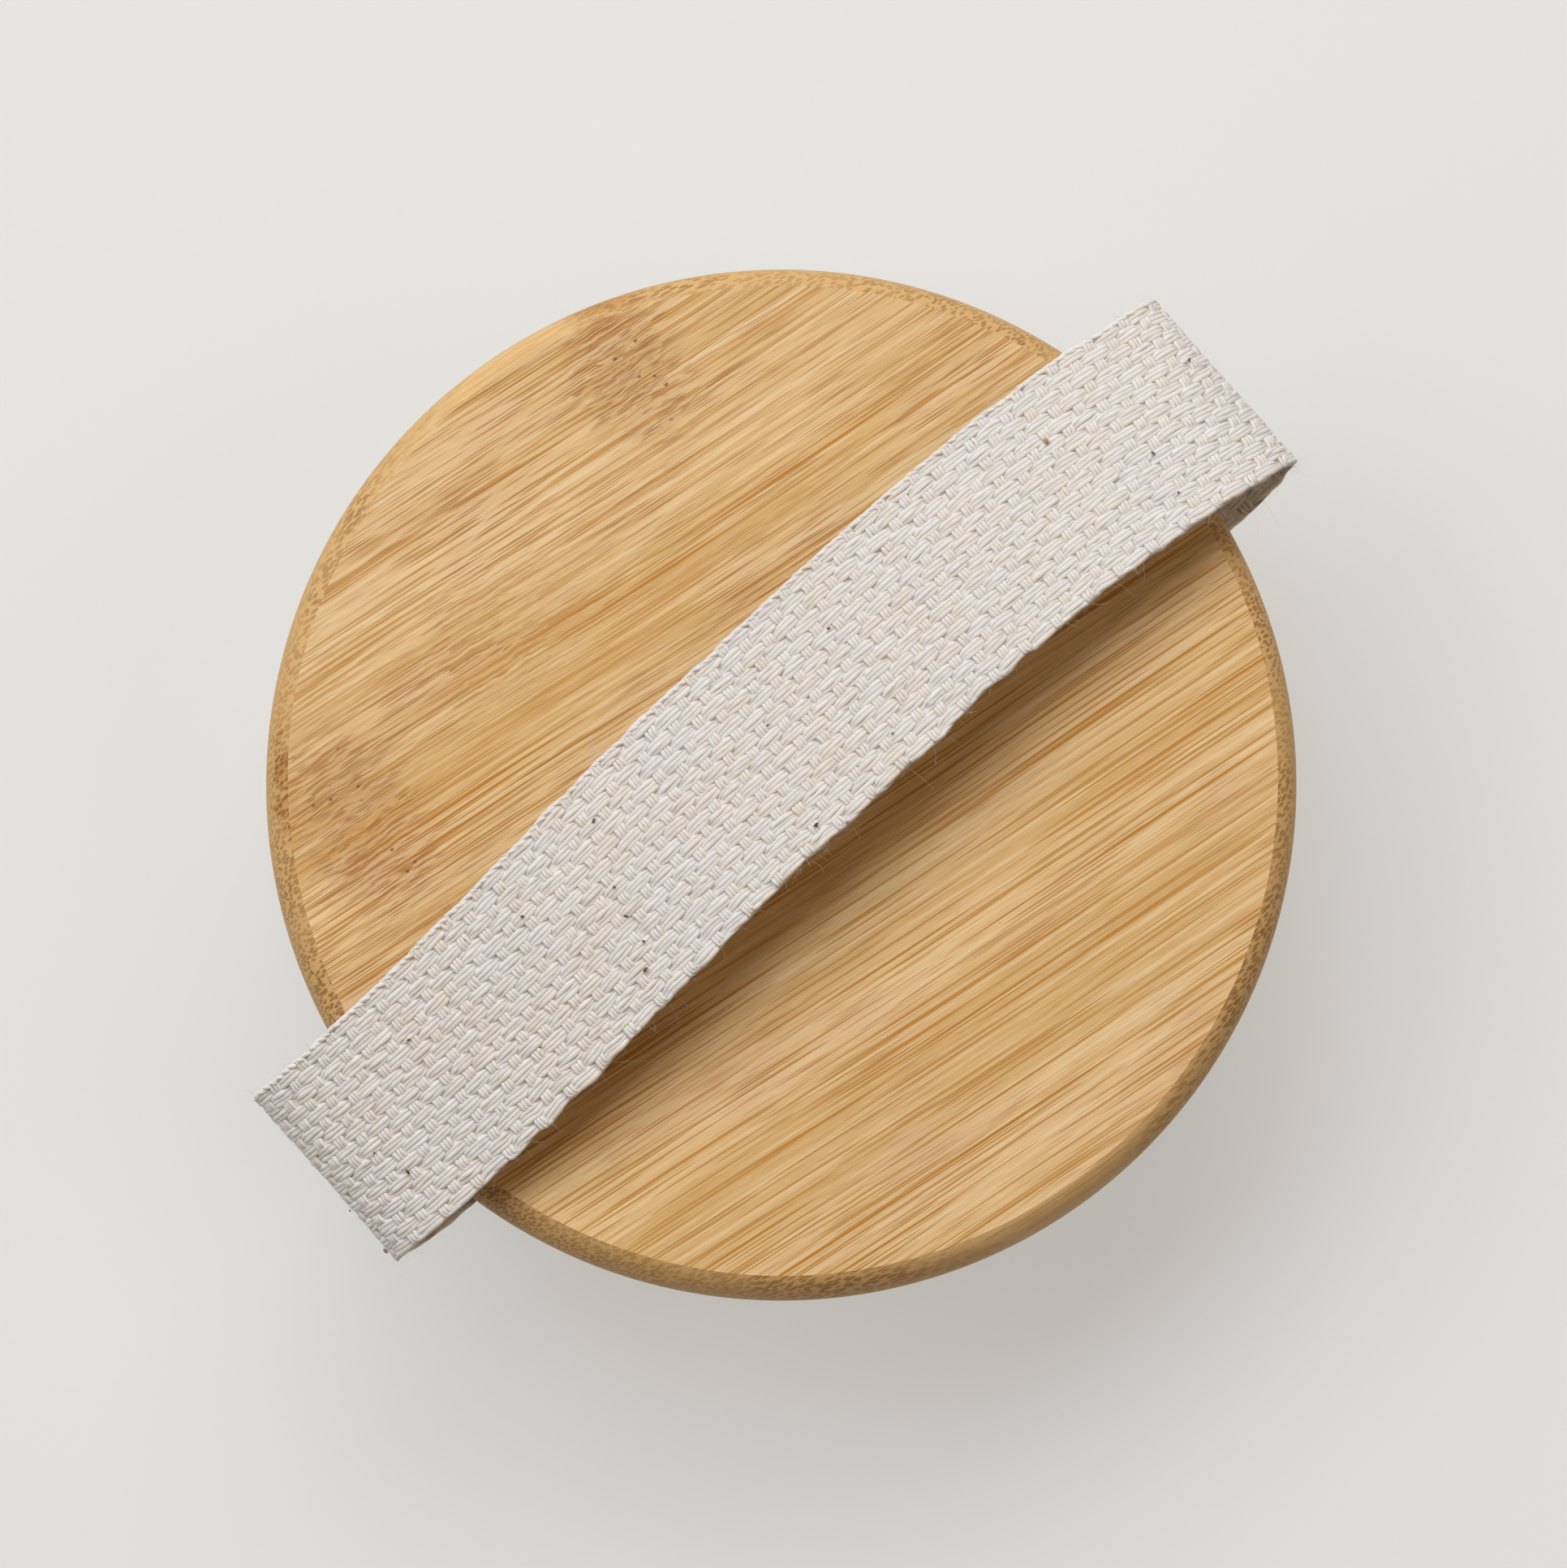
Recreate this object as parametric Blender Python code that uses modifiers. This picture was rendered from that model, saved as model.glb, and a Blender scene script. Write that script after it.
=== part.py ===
"""Round dry brush for the body: a bamboo back, tufts of plant fibre set in its underside, and a
cotton webbing strap that the hand slips under.

Metres, +Z up. The bristle tips lie at Z = 0, the middle of the back is over the origin, and the
strap runs along X, from a slot in the back's left side (-X) to one in its right side (+X).
"""

import math
from typing import NamedTuple

import bmesh
import bpy
from mathutils import Matrix, Vector
from mathutils.geometry import interpolate_bezier

# Play between any two pieces that fit together
FIT_GAP = 0.0003

# Bamboo back
BACK_DIAMETER = 0.120
BACK_THICKNESS = 0.018
EDGE_BAND = 0.0027  # the rounded upper edge, as wide as it looks from above
EDGE_SWEEP = math.radians(70)  # under 90 degrees, so the round meets the top in a crisp line
FOOT_CHAMFER = 0.0008  # lower edge of the side
BACK_STEPS = 96
EDGE_STEPS = 5

# Tufts of bristle
BRISTLE_LENGTH = 0.024  # underside of the back to the tips
TUFTS_IN_RING = (4, 10, 16, 22)
OUTER_RING_INSET = 0.0138  # side of the back to the outer ring's hole centres
HOLE_RADIUS = 0.003
HOLE_DEPTH = 0.008
TIP_SPACING = 0.0018  # between neighbouring tufts at their tips
TIP_BEVEL = 0.0006
TUFT_STEPS = 10
FLARE_STEPS = 3
FLARE_POWER = 1.25  # above 1, so the fibres splay more towards their tips
HOLE_SIDES = 12

# Webbing
STRAP_WIDTH = 0.0254
STRAP_THICKNESS = 0.002
SLOT_DEPTH = 0.010  # side of the back to the slot's inner wall, on the centre line
STRAP_OVERHANG = 0.0105  # side of the back to the outside of the fold
RISE_AT_RIM = 0.0038  # under the webbing, above the back
RISE_AT_MIDDLE = 0.008
FOLD_LEVEL = 0.42  # the fold's outermost line, as a share of the loop's height at the rim
FOLD_FULLNESS = 0.55  # Bezier handle as a share of a quarter turn's reach, 0.55 on a round one
ARCH_FULLNESS = 0.36
LOOP_STEPS = 8  # steps between two knots of the loop

# The loose loop has flopped over to the rear: its middle line's place along Y, and its roll
FOLD_SWAY = 0.0010
SHOULDER_SWAY_LEFT = 0.0008
MIDDLE_SWAY = 0.0041
SHOULDER_SWAY_RIGHT = 0.0031
MIDDLE_ROLL = math.radians(8)
SHOULDER_ROLL_RIGHT = math.radians(11)
TURN_RIGHT = 0.13  # sideways for each metre along, where the right end curls back
FOLD_ROLL_RIGHT = math.radians(2)

# Brads that hold the ends of the webbing
PIN_RADIUS = 0.0007
PIN_HEAD_RADIUS = 0.0013
PIN_HEAD_THICKNESS = 0.0006
PIN_POINT_LENGTH = 0.0015
PIN_BITE = 0.0025  # how far the point goes into the bamboo over the slot
PIN_SPREAD = 0.014  # between the two brads of one end
PIN_FROM_WALL = 0.0045  # slot's inner wall to the brads
PIN_SIDES = 12

# Worked out from the sizes above
BACK_RADIUS = BACK_DIAMETER / 2
UNDERSIDE_Z = BRISTLE_LENGTH
TOP_Z = UNDERSIDE_Z + BACK_THICKNESS
EDGE_RADIUS = EDGE_BAND / (1 - math.cos(EDGE_SWEEP))
EDGE_DROP = EDGE_RADIUS * math.sin(EDGE_SWEEP)
SLOT_HEIGHT = STRAP_THICKNESS + 2 * FIT_GAP
SLOT_WIDTH = STRAP_WIDTH + 2 * FIT_GAP
# The slots are halfway between the tuft holes and the foot of the rounded edge.
SLOT_Z = UNDERSIDE_Z + (HOLE_DEPTH + BACK_THICKNESS - EDGE_DROP) / 2
SLOT_WALL_X = BACK_RADIUS - SLOT_DEPTH
PIN_X = SLOT_WALL_X + PIN_FROM_WALL
PIN_HOLE_RADIUS = PIN_RADIUS + FIT_GAP
PIN_TIP_Z = SLOT_Z + SLOT_HEIGHT / 2 + PIN_BITE
OUTER_RING_RADIUS = BACK_RADIUS - OUTER_RING_INSET
TUFT_PITCH = 2 * math.pi * OUTER_RING_RADIUS / TUFTS_IN_RING[-1]
TIP_RADIUS = (TUFT_PITCH - TIP_SPACING) / 2

SIDES = {"left": -1, "right": 1}
ENDS = {"front": -1, "rear": 1}


def clear_scene():
    """Removes every object of the start-up scene."""
    for obj in list(bpy.data.objects):
        bpy.data.objects.remove(obj, do_unlink=True)


def new_collection(name):
    collection = bpy.data.collections.new(name)
    bpy.context.scene.collection.children.link(collection)
    return collection


def new_material(name, colour, roughness, metallic=0.0):
    material = bpy.data.materials.new(name)
    material.use_nodes = True
    shader = material.node_tree.nodes["Principled BSDF"]
    shader.inputs["Base Color"].default_value = (*colour, 1.0)
    shader.inputs["Roughness"].default_value = roughness
    shader.inputs["Metallic"].default_value = metallic
    return material


def new_piece(name, mesh, collection, material, location=(0, 0, 0)):
    """An object of that mesh, in its collection and with its material."""
    obj = bpy.data.objects.new(name, mesh)
    obj.location = location
    if not mesh.materials:
        mesh.materials.append(material)
    collection.objects.link(obj)
    return obj


def new_cutter(name, bm, collection):
    """An object that only cuts, drawn as wire and left out of renders."""
    mesh = mesh_from(bm, name)
    cutter = bpy.data.objects.new(name, mesh)
    cutter.hide_render = True
    cutter.display_type = "WIRE"
    collection.objects.link(cutter)
    return cutter


def mesh_from(bm, name):
    mesh = bpy.data.meshes.new(name)
    bm.to_mesh(mesh)
    bm.free()
    return mesh


def cut(obj, *cutters):
    for cutter in cutters:
        boolean = obj.modifiers.new(f"cut_{cutter.name}", "BOOLEAN")
        boolean.operation = "DIFFERENCE"
        boolean.solver = "EXACT"
        boolean.object = cutter


def turned_mesh(name, profile):
    """A mesh of (radius, height) points, joined in a line, for a Screw modifier to turn."""
    bm = bmesh.new()
    points = [bm.verts.new((radius, 0, height)) for radius, height in profile]
    for upper, lower in zip(points, points[1:]):
        bm.edges.new((upper, lower))
    return mesh_from(bm, name)


def turn(obj, steps):
    """Turns the object's profile once round its own Z axis."""
    screw = obj.modifiers.new("turn", "SCREW")
    screw.axis = "Z"
    screw.angle = 2 * math.pi
    screw.steps = steps
    screw.render_steps = steps
    screw.use_merge_vertices = True
    screw.merge_threshold = 0.0001
    screw.use_smooth_shade = True


def add_cylinder(bm, radius, low, high, x, y, sides):
    """A closed upright cylinder between two heights."""
    bmesh.ops.create_cone(
        bm,
        cap_ends=True,
        segments=sides,
        radius1=radius,
        radius2=radius,
        depth=high - low,
        matrix=Matrix.Translation((x, y, (low + high) / 2)),
    )


def add_slot_box(bm, along, inner, outer, width, height):
    """A closed box at one slot's height, between two distances from the middle of the back."""
    centre = Vector((along * (inner + outer) / 2, 0, SLOT_Z))
    size = Vector((outer - inner, width, height))
    bmesh.ops.create_cube(bm, size=1, matrix=Matrix.LocRotScale(centre, None, size))


def tuft_places():
    """(ring, number, x, y) of every tuft. Rings and neighbours are one pitch apart."""
    for ring, count in enumerate(TUFTS_IN_RING, start=1):
        radius = TUFT_PITCH * count / (2 * math.pi)
        for number in range(count):
            angle = 2 * math.pi * (number + 0.5) / count
            yield ring, number + 1, radius * math.cos(angle), radius * math.sin(angle)


def pin_places():
    """(side, end, x, y) of each brad."""
    for side, along in SIDES.items():
        for end, across in ENDS.items():
            yield side, end, along * PIN_X, across * PIN_SPREAD / 2


def back_profile():
    """The back's outline from the middle of its top to the middle of its underside."""
    side_top = TOP_Z - EDGE_DROP
    profile = [(0, TOP_Z)]
    for step in range(EDGE_STEPS + 1):
        angle = EDGE_SWEEP * (1 - step / EDGE_STEPS)
        inset = EDGE_RADIUS * (1 - math.cos(angle))
        profile.append((BACK_RADIUS - inset, side_top + EDGE_RADIUS * math.sin(angle)))
    profile.append((BACK_RADIUS, UNDERSIDE_Z + FOOT_CHAMFER))
    profile.append((BACK_RADIUS - FOOT_CHAMFER, UNDERSIDE_Z))
    profile.append((0, UNDERSIDE_Z))
    return profile


def slot_cutter(side, along, collection):
    """The kerf in the back's side that takes one end of the webbing."""
    bm = bmesh.new()
    add_slot_box(bm, along, SLOT_WALL_X, BACK_RADIUS + SLOT_DEPTH, SLOT_WIDTH, SLOT_HEIGHT)
    return new_cutter(f"slot_{side}_cutter", bm, collection)


def tuft_hole_cutter(collection):
    """The blind holes in the underside, one for each tuft."""
    bm = bmesh.new()
    for _ring, _number, x, y in tuft_places():
        mouth, floor = UNDERSIDE_Z - HOLE_DEPTH, UNDERSIDE_Z + HOLE_DEPTH
        add_cylinder(bm, HOLE_RADIUS, mouth, floor, x, y, HOLE_SIDES)
    return new_cutter("tuft_hole_cutter", bm, collection)


def pin_hole_cutter(collection):
    """A pilot hole for each brad, from the underside to past its point."""
    bm = bmesh.new()
    low, high = UNDERSIDE_Z - PIN_HEAD_THICKNESS, PIN_TIP_Z + FIT_GAP
    for _side, _end, x, y in pin_places():
        add_cylinder(bm, PIN_HOLE_RADIUS, low, high, x, y, PIN_SIDES)
    return new_cutter("pin_hole_cutter", bm, collection)


def pin_recess_cutter(collection):
    """A counterbore for each brad's head, which sits just below the underside."""
    bm = bmesh.new()
    radius = PIN_HEAD_RADIUS + FIT_GAP
    low = UNDERSIDE_Z - PIN_HEAD_THICKNESS
    high = UNDERSIDE_Z + PIN_HEAD_THICKNESS + 2 * FIT_GAP
    for _side, _end, x, y in pin_places():
        add_cylinder(bm, radius, low, high, x, y, PIN_SIDES)
    return new_cutter("pin_recess_cutter", bm, collection)


def build_back(parts, cutters, material, pin_holes):
    """The bamboo disc, with its two slots, its tuft holes and the brads' holes."""
    back = new_piece("bamboo_back", turned_mesh("bamboo_back", back_profile()), parts, material)
    turn(back, BACK_STEPS)
    slots = [slot_cutter(side, along, cutters) for side, along in SIDES.items()]
    cut(back, *slots, tuft_hole_cutter(cutters), pin_holes, pin_recess_cutter(cutters))
    return back


def build_strap_end(side, along, parts, material, pin_holes):
    """The end of the webbing inside its slot, pierced by the two brads."""
    bm = bmesh.new()
    inner = SLOT_WALL_X + FIT_GAP
    add_slot_box(bm, along, inner, BACK_RADIUS, STRAP_WIDTH, STRAP_THICKNESS)
    name = f"strap_end_{side}"
    end = new_piece(name, mesh_from(bm, name), parts, material)
    cut(end, pin_holes)
    return end


class Knot(NamedTuple):
    """A place on the loop's middle line, the heading and roll there, and how full the next span is."""

    point: Vector
    heading: Vector
    roll: float
    fullness: float


def loop_knots():
    """The loop's knots from the left slot's mouth to the right one's, above the pivot line."""
    half = STRAP_THICKNESS / 2
    mouth_x = BACK_RADIUS + FIT_GAP
    fold_x = BACK_RADIUS + STRAP_OVERHANG - half
    shoulder_x = BACK_RADIUS - EDGE_BAND
    shoulder_z = TOP_Z - SLOT_Z + RISE_AT_RIM + half
    middle_z = TOP_Z - SLOT_Z + RISE_AT_MIDDLE + half
    fold_z = shoulder_z * FOLD_LEVEL
    slope = 2 * (middle_z - shoulder_z) / shoulder_x
    drift = (SHOULDER_SWAY_RIGHT - SHOULDER_SWAY_LEFT) / (2 * shoulder_x)

    def knot(place, heading, roll, fullness):
        return Knot(Vector(place), Vector(heading).normalized(), roll, fullness)

    left_shoulder = (-shoulder_x, SHOULDER_SWAY_LEFT, shoulder_z)
    right_shoulder = (shoulder_x, SHOULDER_SWAY_RIGHT, shoulder_z)
    return [
        knot((-mouth_x, 0, 0), (-1, 0, 0), 0, FOLD_FULLNESS),
        knot((-fold_x, FOLD_SWAY, fold_z), (0, 0, 1), 0, FOLD_FULLNESS),
        knot(left_shoulder, (1, drift, slope), 0, ARCH_FULLNESS),
        knot((0, MIDDLE_SWAY, middle_z), (1, drift, 0), MIDDLE_ROLL, ARCH_FULLNESS),
        knot(right_shoulder, (1, -TURN_RIGHT, -slope), SHOULDER_ROLL_RIGHT, FOLD_FULLNESS),
        knot((fold_x, FOLD_SWAY, fold_z), (0, 0, -1), FOLD_ROLL_RIGHT, FOLD_FULLNESS),
        knot((mouth_x, 0, 0), (-1, 0, 0), 0, FOLD_FULLNESS),
    ]


def loop_stations():
    """(middle point, unit vector across the webbing) along the whole loop."""
    knots = loop_knots()
    for start, end in zip(knots, knots[1:]):
        chord = end.point - start.point
        reach_out = chord.dot(start.heading) * start.fullness
        reach_in = chord.dot(end.heading) * start.fullness
        leave = start.point + start.heading * reach_out
        arrive = end.point - end.heading * reach_in
        points = interpolate_bezier(start.point, leave, arrive, end.point, LOOP_STEPS + 1)
        if end is not knots[-1]:
            points = points[:-1]
        for step, point in enumerate(points):
            share = step / LOOP_STEPS
            ease = share * share * (3 - 2 * share)
            roll = start.roll + (end.roll - start.roll) * ease
            yield point, Vector((0, math.cos(roll), -math.sin(roll)))


def build_strap_loop(parts, material):
    """The free webbing from slot to slot, a sheet along its middle line with a thickness."""
    bm = bmesh.new()
    half_width = STRAP_WIDTH / 2
    rows = [
        (bm.verts.new(point - across * half_width), bm.verts.new(point + across * half_width))
        for point, across in loop_stations()
    ]
    for (front, rear), (next_front, next_rear) in zip(rows, rows[1:]):
        bm.faces.new((front, next_front, next_rear, rear))
    mesh = mesh_from(bm, "strap_loop")
    loop = new_piece("strap_loop", mesh, parts, material)
    thicken = loop.modifiers.new("thickness", "SOLIDIFY")
    thicken.thickness = STRAP_THICKNESS
    thicken.offset = 0
    thicken.use_even_offset = True
    mesh.shade_smooth()
    return loop


def pin_profile():
    """A brad's outline from its point down to the middle of its head."""
    head_low = UNDERSIDE_Z + FIT_GAP
    head_high = head_low + PIN_HEAD_THICKNESS
    return [
        (0, PIN_TIP_Z),
        (PIN_RADIUS, PIN_TIP_Z - PIN_POINT_LENGTH),
        (PIN_RADIUS, head_high),
        (PIN_HEAD_RADIUS, head_high),
        (PIN_HEAD_RADIUS, head_low),
        (0, head_low),
    ]


def build_pins(parts, material):
    """Two brads through each end of the webbing, driven up from the underside."""
    mesh = turned_mesh("strap_pin", pin_profile())
    pins = []
    for side, end, x, y in pin_places():
        pin = new_piece(f"strap_pin_{side}_{end}", mesh, parts, material, (x, y, 0))
        turn(pin, PIN_SIDES)
        pins.append(pin)
    return pins


def tuft_profile():
    """A tuft's outline: a straight shank in its hole, then a flare to a flat, bevelled tip."""
    shank = HOLE_RADIUS - FIT_GAP
    shank_end = UNDERSIDE_Z + HOLE_DEPTH - FIT_GAP
    profile = [(0, shank_end), (shank, shank_end)]
    for step in range(FLARE_STEPS + 1):
        share = step / FLARE_STEPS
        height = UNDERSIDE_Z + (TIP_BEVEL - UNDERSIDE_Z) * share
        profile.append((shank + (TIP_RADIUS - shank) * share**FLARE_POWER, height))
    profile.append((TIP_RADIUS - TIP_BEVEL, 0))
    profile.append((0, 0))
    return profile


def build_tufts(parts, material):
    """One tuft for each hole, as the plain outer form of its bunch of fibres."""
    mesh = turned_mesh("bristle_tuft", tuft_profile())
    tufts = []
    for ring, number, x, y in tuft_places():
        name = f"bristle_tuft_ring{ring}_{number:02d}"
        tuft = new_piece(name, mesh, parts, material, (x, y, 0))
        turn(tuft, TUFT_STEPS)
        tufts.append(tuft)
    return tufts


def add_empty(name, collection, location=(0, 0, 0)):
    empty = bpy.data.objects.new(name, None)
    empty.empty_display_size = 0.01
    empty.location = location
    collection.objects.link(empty)
    return empty


def main():
    clear_scene()
    parts = new_collection("body_dry_brush")
    cutters = new_collection("cutters")
    bamboo = new_material("bamboo", (0.68, 0.45, 0.22), 0.5)
    cotton = new_material("cotton_webbing", (0.78, 0.74, 0.68), 0.95)
    fibre = new_material("plant_fibre", (0.66, 0.52, 0.31), 0.7)
    steel = new_material("steel_brad", (0.55, 0.55, 0.56), 0.35, metallic=1.0)

    pin_holes = pin_hole_cutter(cutters)
    fixed = [build_back(parts, cutters, bamboo, pin_holes)]
    for side, along in SIDES.items():
        fixed.append(build_strap_end(side, along, parts, cotton, pin_holes))
    fixed += build_pins(parts, steel)
    fixed += build_tufts(parts, fibre)
    back_frame = add_empty("back_frame", parts)
    for piece in fixed:
        piece.parent = back_frame

    strap_pivot = add_empty("strap_pivot", parts, (0, 0, SLOT_Z))
    strap_pivot.parent = back_frame
    build_strap_loop(parts, cotton).parent = strap_pivot


main()
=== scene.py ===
import logging
import math
from dataclasses import dataclass, field
from enum import Enum
from typing import Callable, Iterator, NamedTuple, Sequence

import bpy
import numpy as np
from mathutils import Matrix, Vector
from mathutils.geometry import interpolate_bezier


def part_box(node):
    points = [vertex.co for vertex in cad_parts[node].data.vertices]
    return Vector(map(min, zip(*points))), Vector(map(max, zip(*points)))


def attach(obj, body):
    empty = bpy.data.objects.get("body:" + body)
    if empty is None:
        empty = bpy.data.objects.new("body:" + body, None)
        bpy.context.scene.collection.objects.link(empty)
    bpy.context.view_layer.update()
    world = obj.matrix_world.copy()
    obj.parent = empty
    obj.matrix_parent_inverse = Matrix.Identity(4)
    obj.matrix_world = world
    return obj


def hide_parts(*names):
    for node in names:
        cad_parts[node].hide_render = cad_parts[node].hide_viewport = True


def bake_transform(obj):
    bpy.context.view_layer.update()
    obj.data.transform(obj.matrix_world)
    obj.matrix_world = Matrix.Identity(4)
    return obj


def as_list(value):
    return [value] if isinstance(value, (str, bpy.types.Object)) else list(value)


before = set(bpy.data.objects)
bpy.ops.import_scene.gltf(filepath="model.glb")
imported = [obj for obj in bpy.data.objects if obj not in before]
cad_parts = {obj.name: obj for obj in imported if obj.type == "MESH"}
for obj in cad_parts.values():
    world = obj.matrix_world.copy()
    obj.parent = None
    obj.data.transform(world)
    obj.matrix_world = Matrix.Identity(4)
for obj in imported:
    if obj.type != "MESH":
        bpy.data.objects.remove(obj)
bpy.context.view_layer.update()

# Looks of a round body dry brush: a turned bamboo back, tufts of loose plant fibres, and a strap that is
# woven yarn by yarn. Metres, +Z up. The bristle tips lie at Z = 0 and the strap runs along X.

LOG = logging.getLogger("dry_brush")

MM = 0.001
FULL_TURN = 6.28  # radians, near enough for a random heading
Colour = tuple[float, float, float]
Socket = bpy.types.NodeSocket


class Body(Enum):
    """The bodies of the frame."""

    BACK = "back"
    STRAP = "strap"


class Slot(Enum):
    """The material slots, by name."""

    BAMBOO = "bamboo"
    COTTON = "cotton_webbing"
    FIBRE = "plant_fibre"
    STEEL = "steel_brad"


class Side(Enum):
    """The two sides of the brush, as signs along X."""

    LEFT = -1
    RIGHT = 1


def tone(red: int, green: int, blue: int) -> tuple[float, float, float, float]:
    """A linear colour for a socket.

    Args:
        red, green, blue: the colour as seen, each from 0 to 255.

    Returns:
        The same colour in linear light, with full alpha.
    """
    def linear(value: int) -> float:
        """One channel in linear light."""
        share = value / 255
        return share / 12.92 if share <= 0.04045 else ((share + 0.055) / 1.055) ** 2.4

    return (linear(red), linear(green), linear(blue), 1.0)


# ---- Node recipes and finishes ----


class Recipe:
    """A material in the making: its node tree, and short ways to add to it."""

    def __init__(self, name: str) -> None:
        """Starts a material with a Principled shader."""
        self.material = bpy.data.materials.new(name)
        self.material.use_nodes = True
        self.tree = self.material.node_tree
        self.shader = self.tree.nodes["Principled BSDF"]

    def feed(self, socket: Socket, value: object) -> None:
        """Links a socket to another one, or sets its own value."""
        if isinstance(value, bpy.types.NodeSocket):
            self.tree.links.new(value, socket)
        else:
            socket.default_value = value

    def node(self, kind: str, inputs: dict[str | int, object], **settings: object) -> bpy.types.Node:
        """Adds a node.

        Args:
            kind: the node's Blender type.
            inputs: a socket or a value for each named or numbered input.
            settings: the node's own properties.

        Returns:
            The new node.
        """
        node = self.tree.nodes.new(kind)
        for name, value in settings.items():
            setattr(node, name, value)
        for key, value in inputs.items():
            self.feed(node.inputs[key], value)
        return node

    def attribute(self, name: str, output: str = "Fac") -> Socket:
        """A value that is stored on the piece's points."""
        return self.node("ShaderNodeAttribute", {}, attribute_name=name).outputs[output]

    def maths(self, operation: str, first: object, second: object = 0.0, clamp: bool = False) -> Socket:
        """One sum of two numbers."""
        made = self.node("ShaderNodeMath", {0: first, 1: second}, operation=operation, use_clamp=clamp)
        return made.outputs[0]

    def vectors(self, operation: str, first: object, second: object = (0.0, 0.0, 0.0)) -> Socket:
        """One sum of two vectors."""
        made = self.node("ShaderNodeVectorMath", {0: first, 1: second}, operation=operation)
        return made.outputs["Value" if operation in ("LENGTH", "DOT_PRODUCT") else "Vector"]

    def scaled(self, at: Socket, *scale: float) -> Socket:
        """A vector with each axis multiplied; the last number given also serves the axes after it."""
        return self.vectors("MULTIPLY", at, (*scale, *scale[-1:] * (3 - len(scale))))

    def millimetres(self) -> Socket:
        """The piece's own place, in millimetres."""
        return self.scaled(self.node("ShaderNodeTexCoord", {}).outputs["Object"], 1000.0)

    def noise(self, at: Socket, detail: float = 2.0, rough: float = 0.5, output: str = "Fac") -> Socket:
        """Soft noise, one repeat to each unit of the vector."""
        inputs = {"Vector": at, "Scale": 1.0, "Detail": detail, "Roughness": rough}
        return self.node("ShaderNodeTexNoise", inputs).outputs[output]

    def cells(self, at: Socket) -> Socket:
        """How far a point is from the nearest of scattered points, one to each unit of the vector."""
        return self.node("ShaderNodeTexVoronoi", {"Vector": at, "Scale": 1.0}).outputs["Distance"]

    def ease(self, value: object, low: float, high: float, start: float = 0.0, end: float = 1.0) -> Socket:
        """A value taken smoothly from one range to another, and held at both ends."""
        inputs = {"Value": value, "From Min": low, "From Max": high, "To Min": start, "To Max": end}
        return self.node("ShaderNodeMapRange", inputs, interpolation_type="SMOOTHSTEP").outputs[0]

    def blend(self, share: object, first: object, second: object, mode: str = "MIX") -> Socket:
        """A colour between two colours."""
        inputs = {0: share, 6: first, 7: second}
        return self.node("ShaderNodeMix", inputs, data_type="RGBA", blend_type=mode).outputs[2]

    def relief(self, height: Socket, depth: float, strength: float, under: Socket | None = None) -> Socket:
        """A bumped normal.

        Args:
            height: the relief, from 0 to 1.
            depth: how deep it is, in metres.
            strength: how much of it shows.
            under: a coarser relief that this one lies on.

        Returns:
            The normal for a shader.
        """
        inputs = {"Height": height, "Distance": depth, "Strength": strength}
        if under is not None:
            inputs["Normal"] = under
        return self.node("ShaderNodeBump", inputs).outputs["Normal"]

    def finish(self, colour: object, roughness: object, normal: Socket | None = None,
               **constants: float | tuple) -> bpy.types.Material:
        """Feeds the shader.

        Args:
            colour: the base colour.
            roughness: the roughness.
            normal: the bumped normal, if any.
            constants: other shader inputs that are the same all over, with _ for a space.

        Returns:
            The finished material.
        """
        self.feed(self.shader.inputs["Base Color"], colour)
        self.feed(self.shader.inputs["Roughness"], roughness)
        if normal is not None:
            self.feed(self.shader.inputs["Normal"], normal)
        for name, value in constants.items():
            self.shader.inputs[name.replace("_", " ")].default_value = value
        return self.material


class NodeMark(NamedTuple):
    """A joint of the bamboo cane that shows on the face: its place and reach, in millimetres on the grain."""

    along: float
    across: float
    reach_along: float
    reach_across: float
    brown: float
    swirl: float


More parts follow.
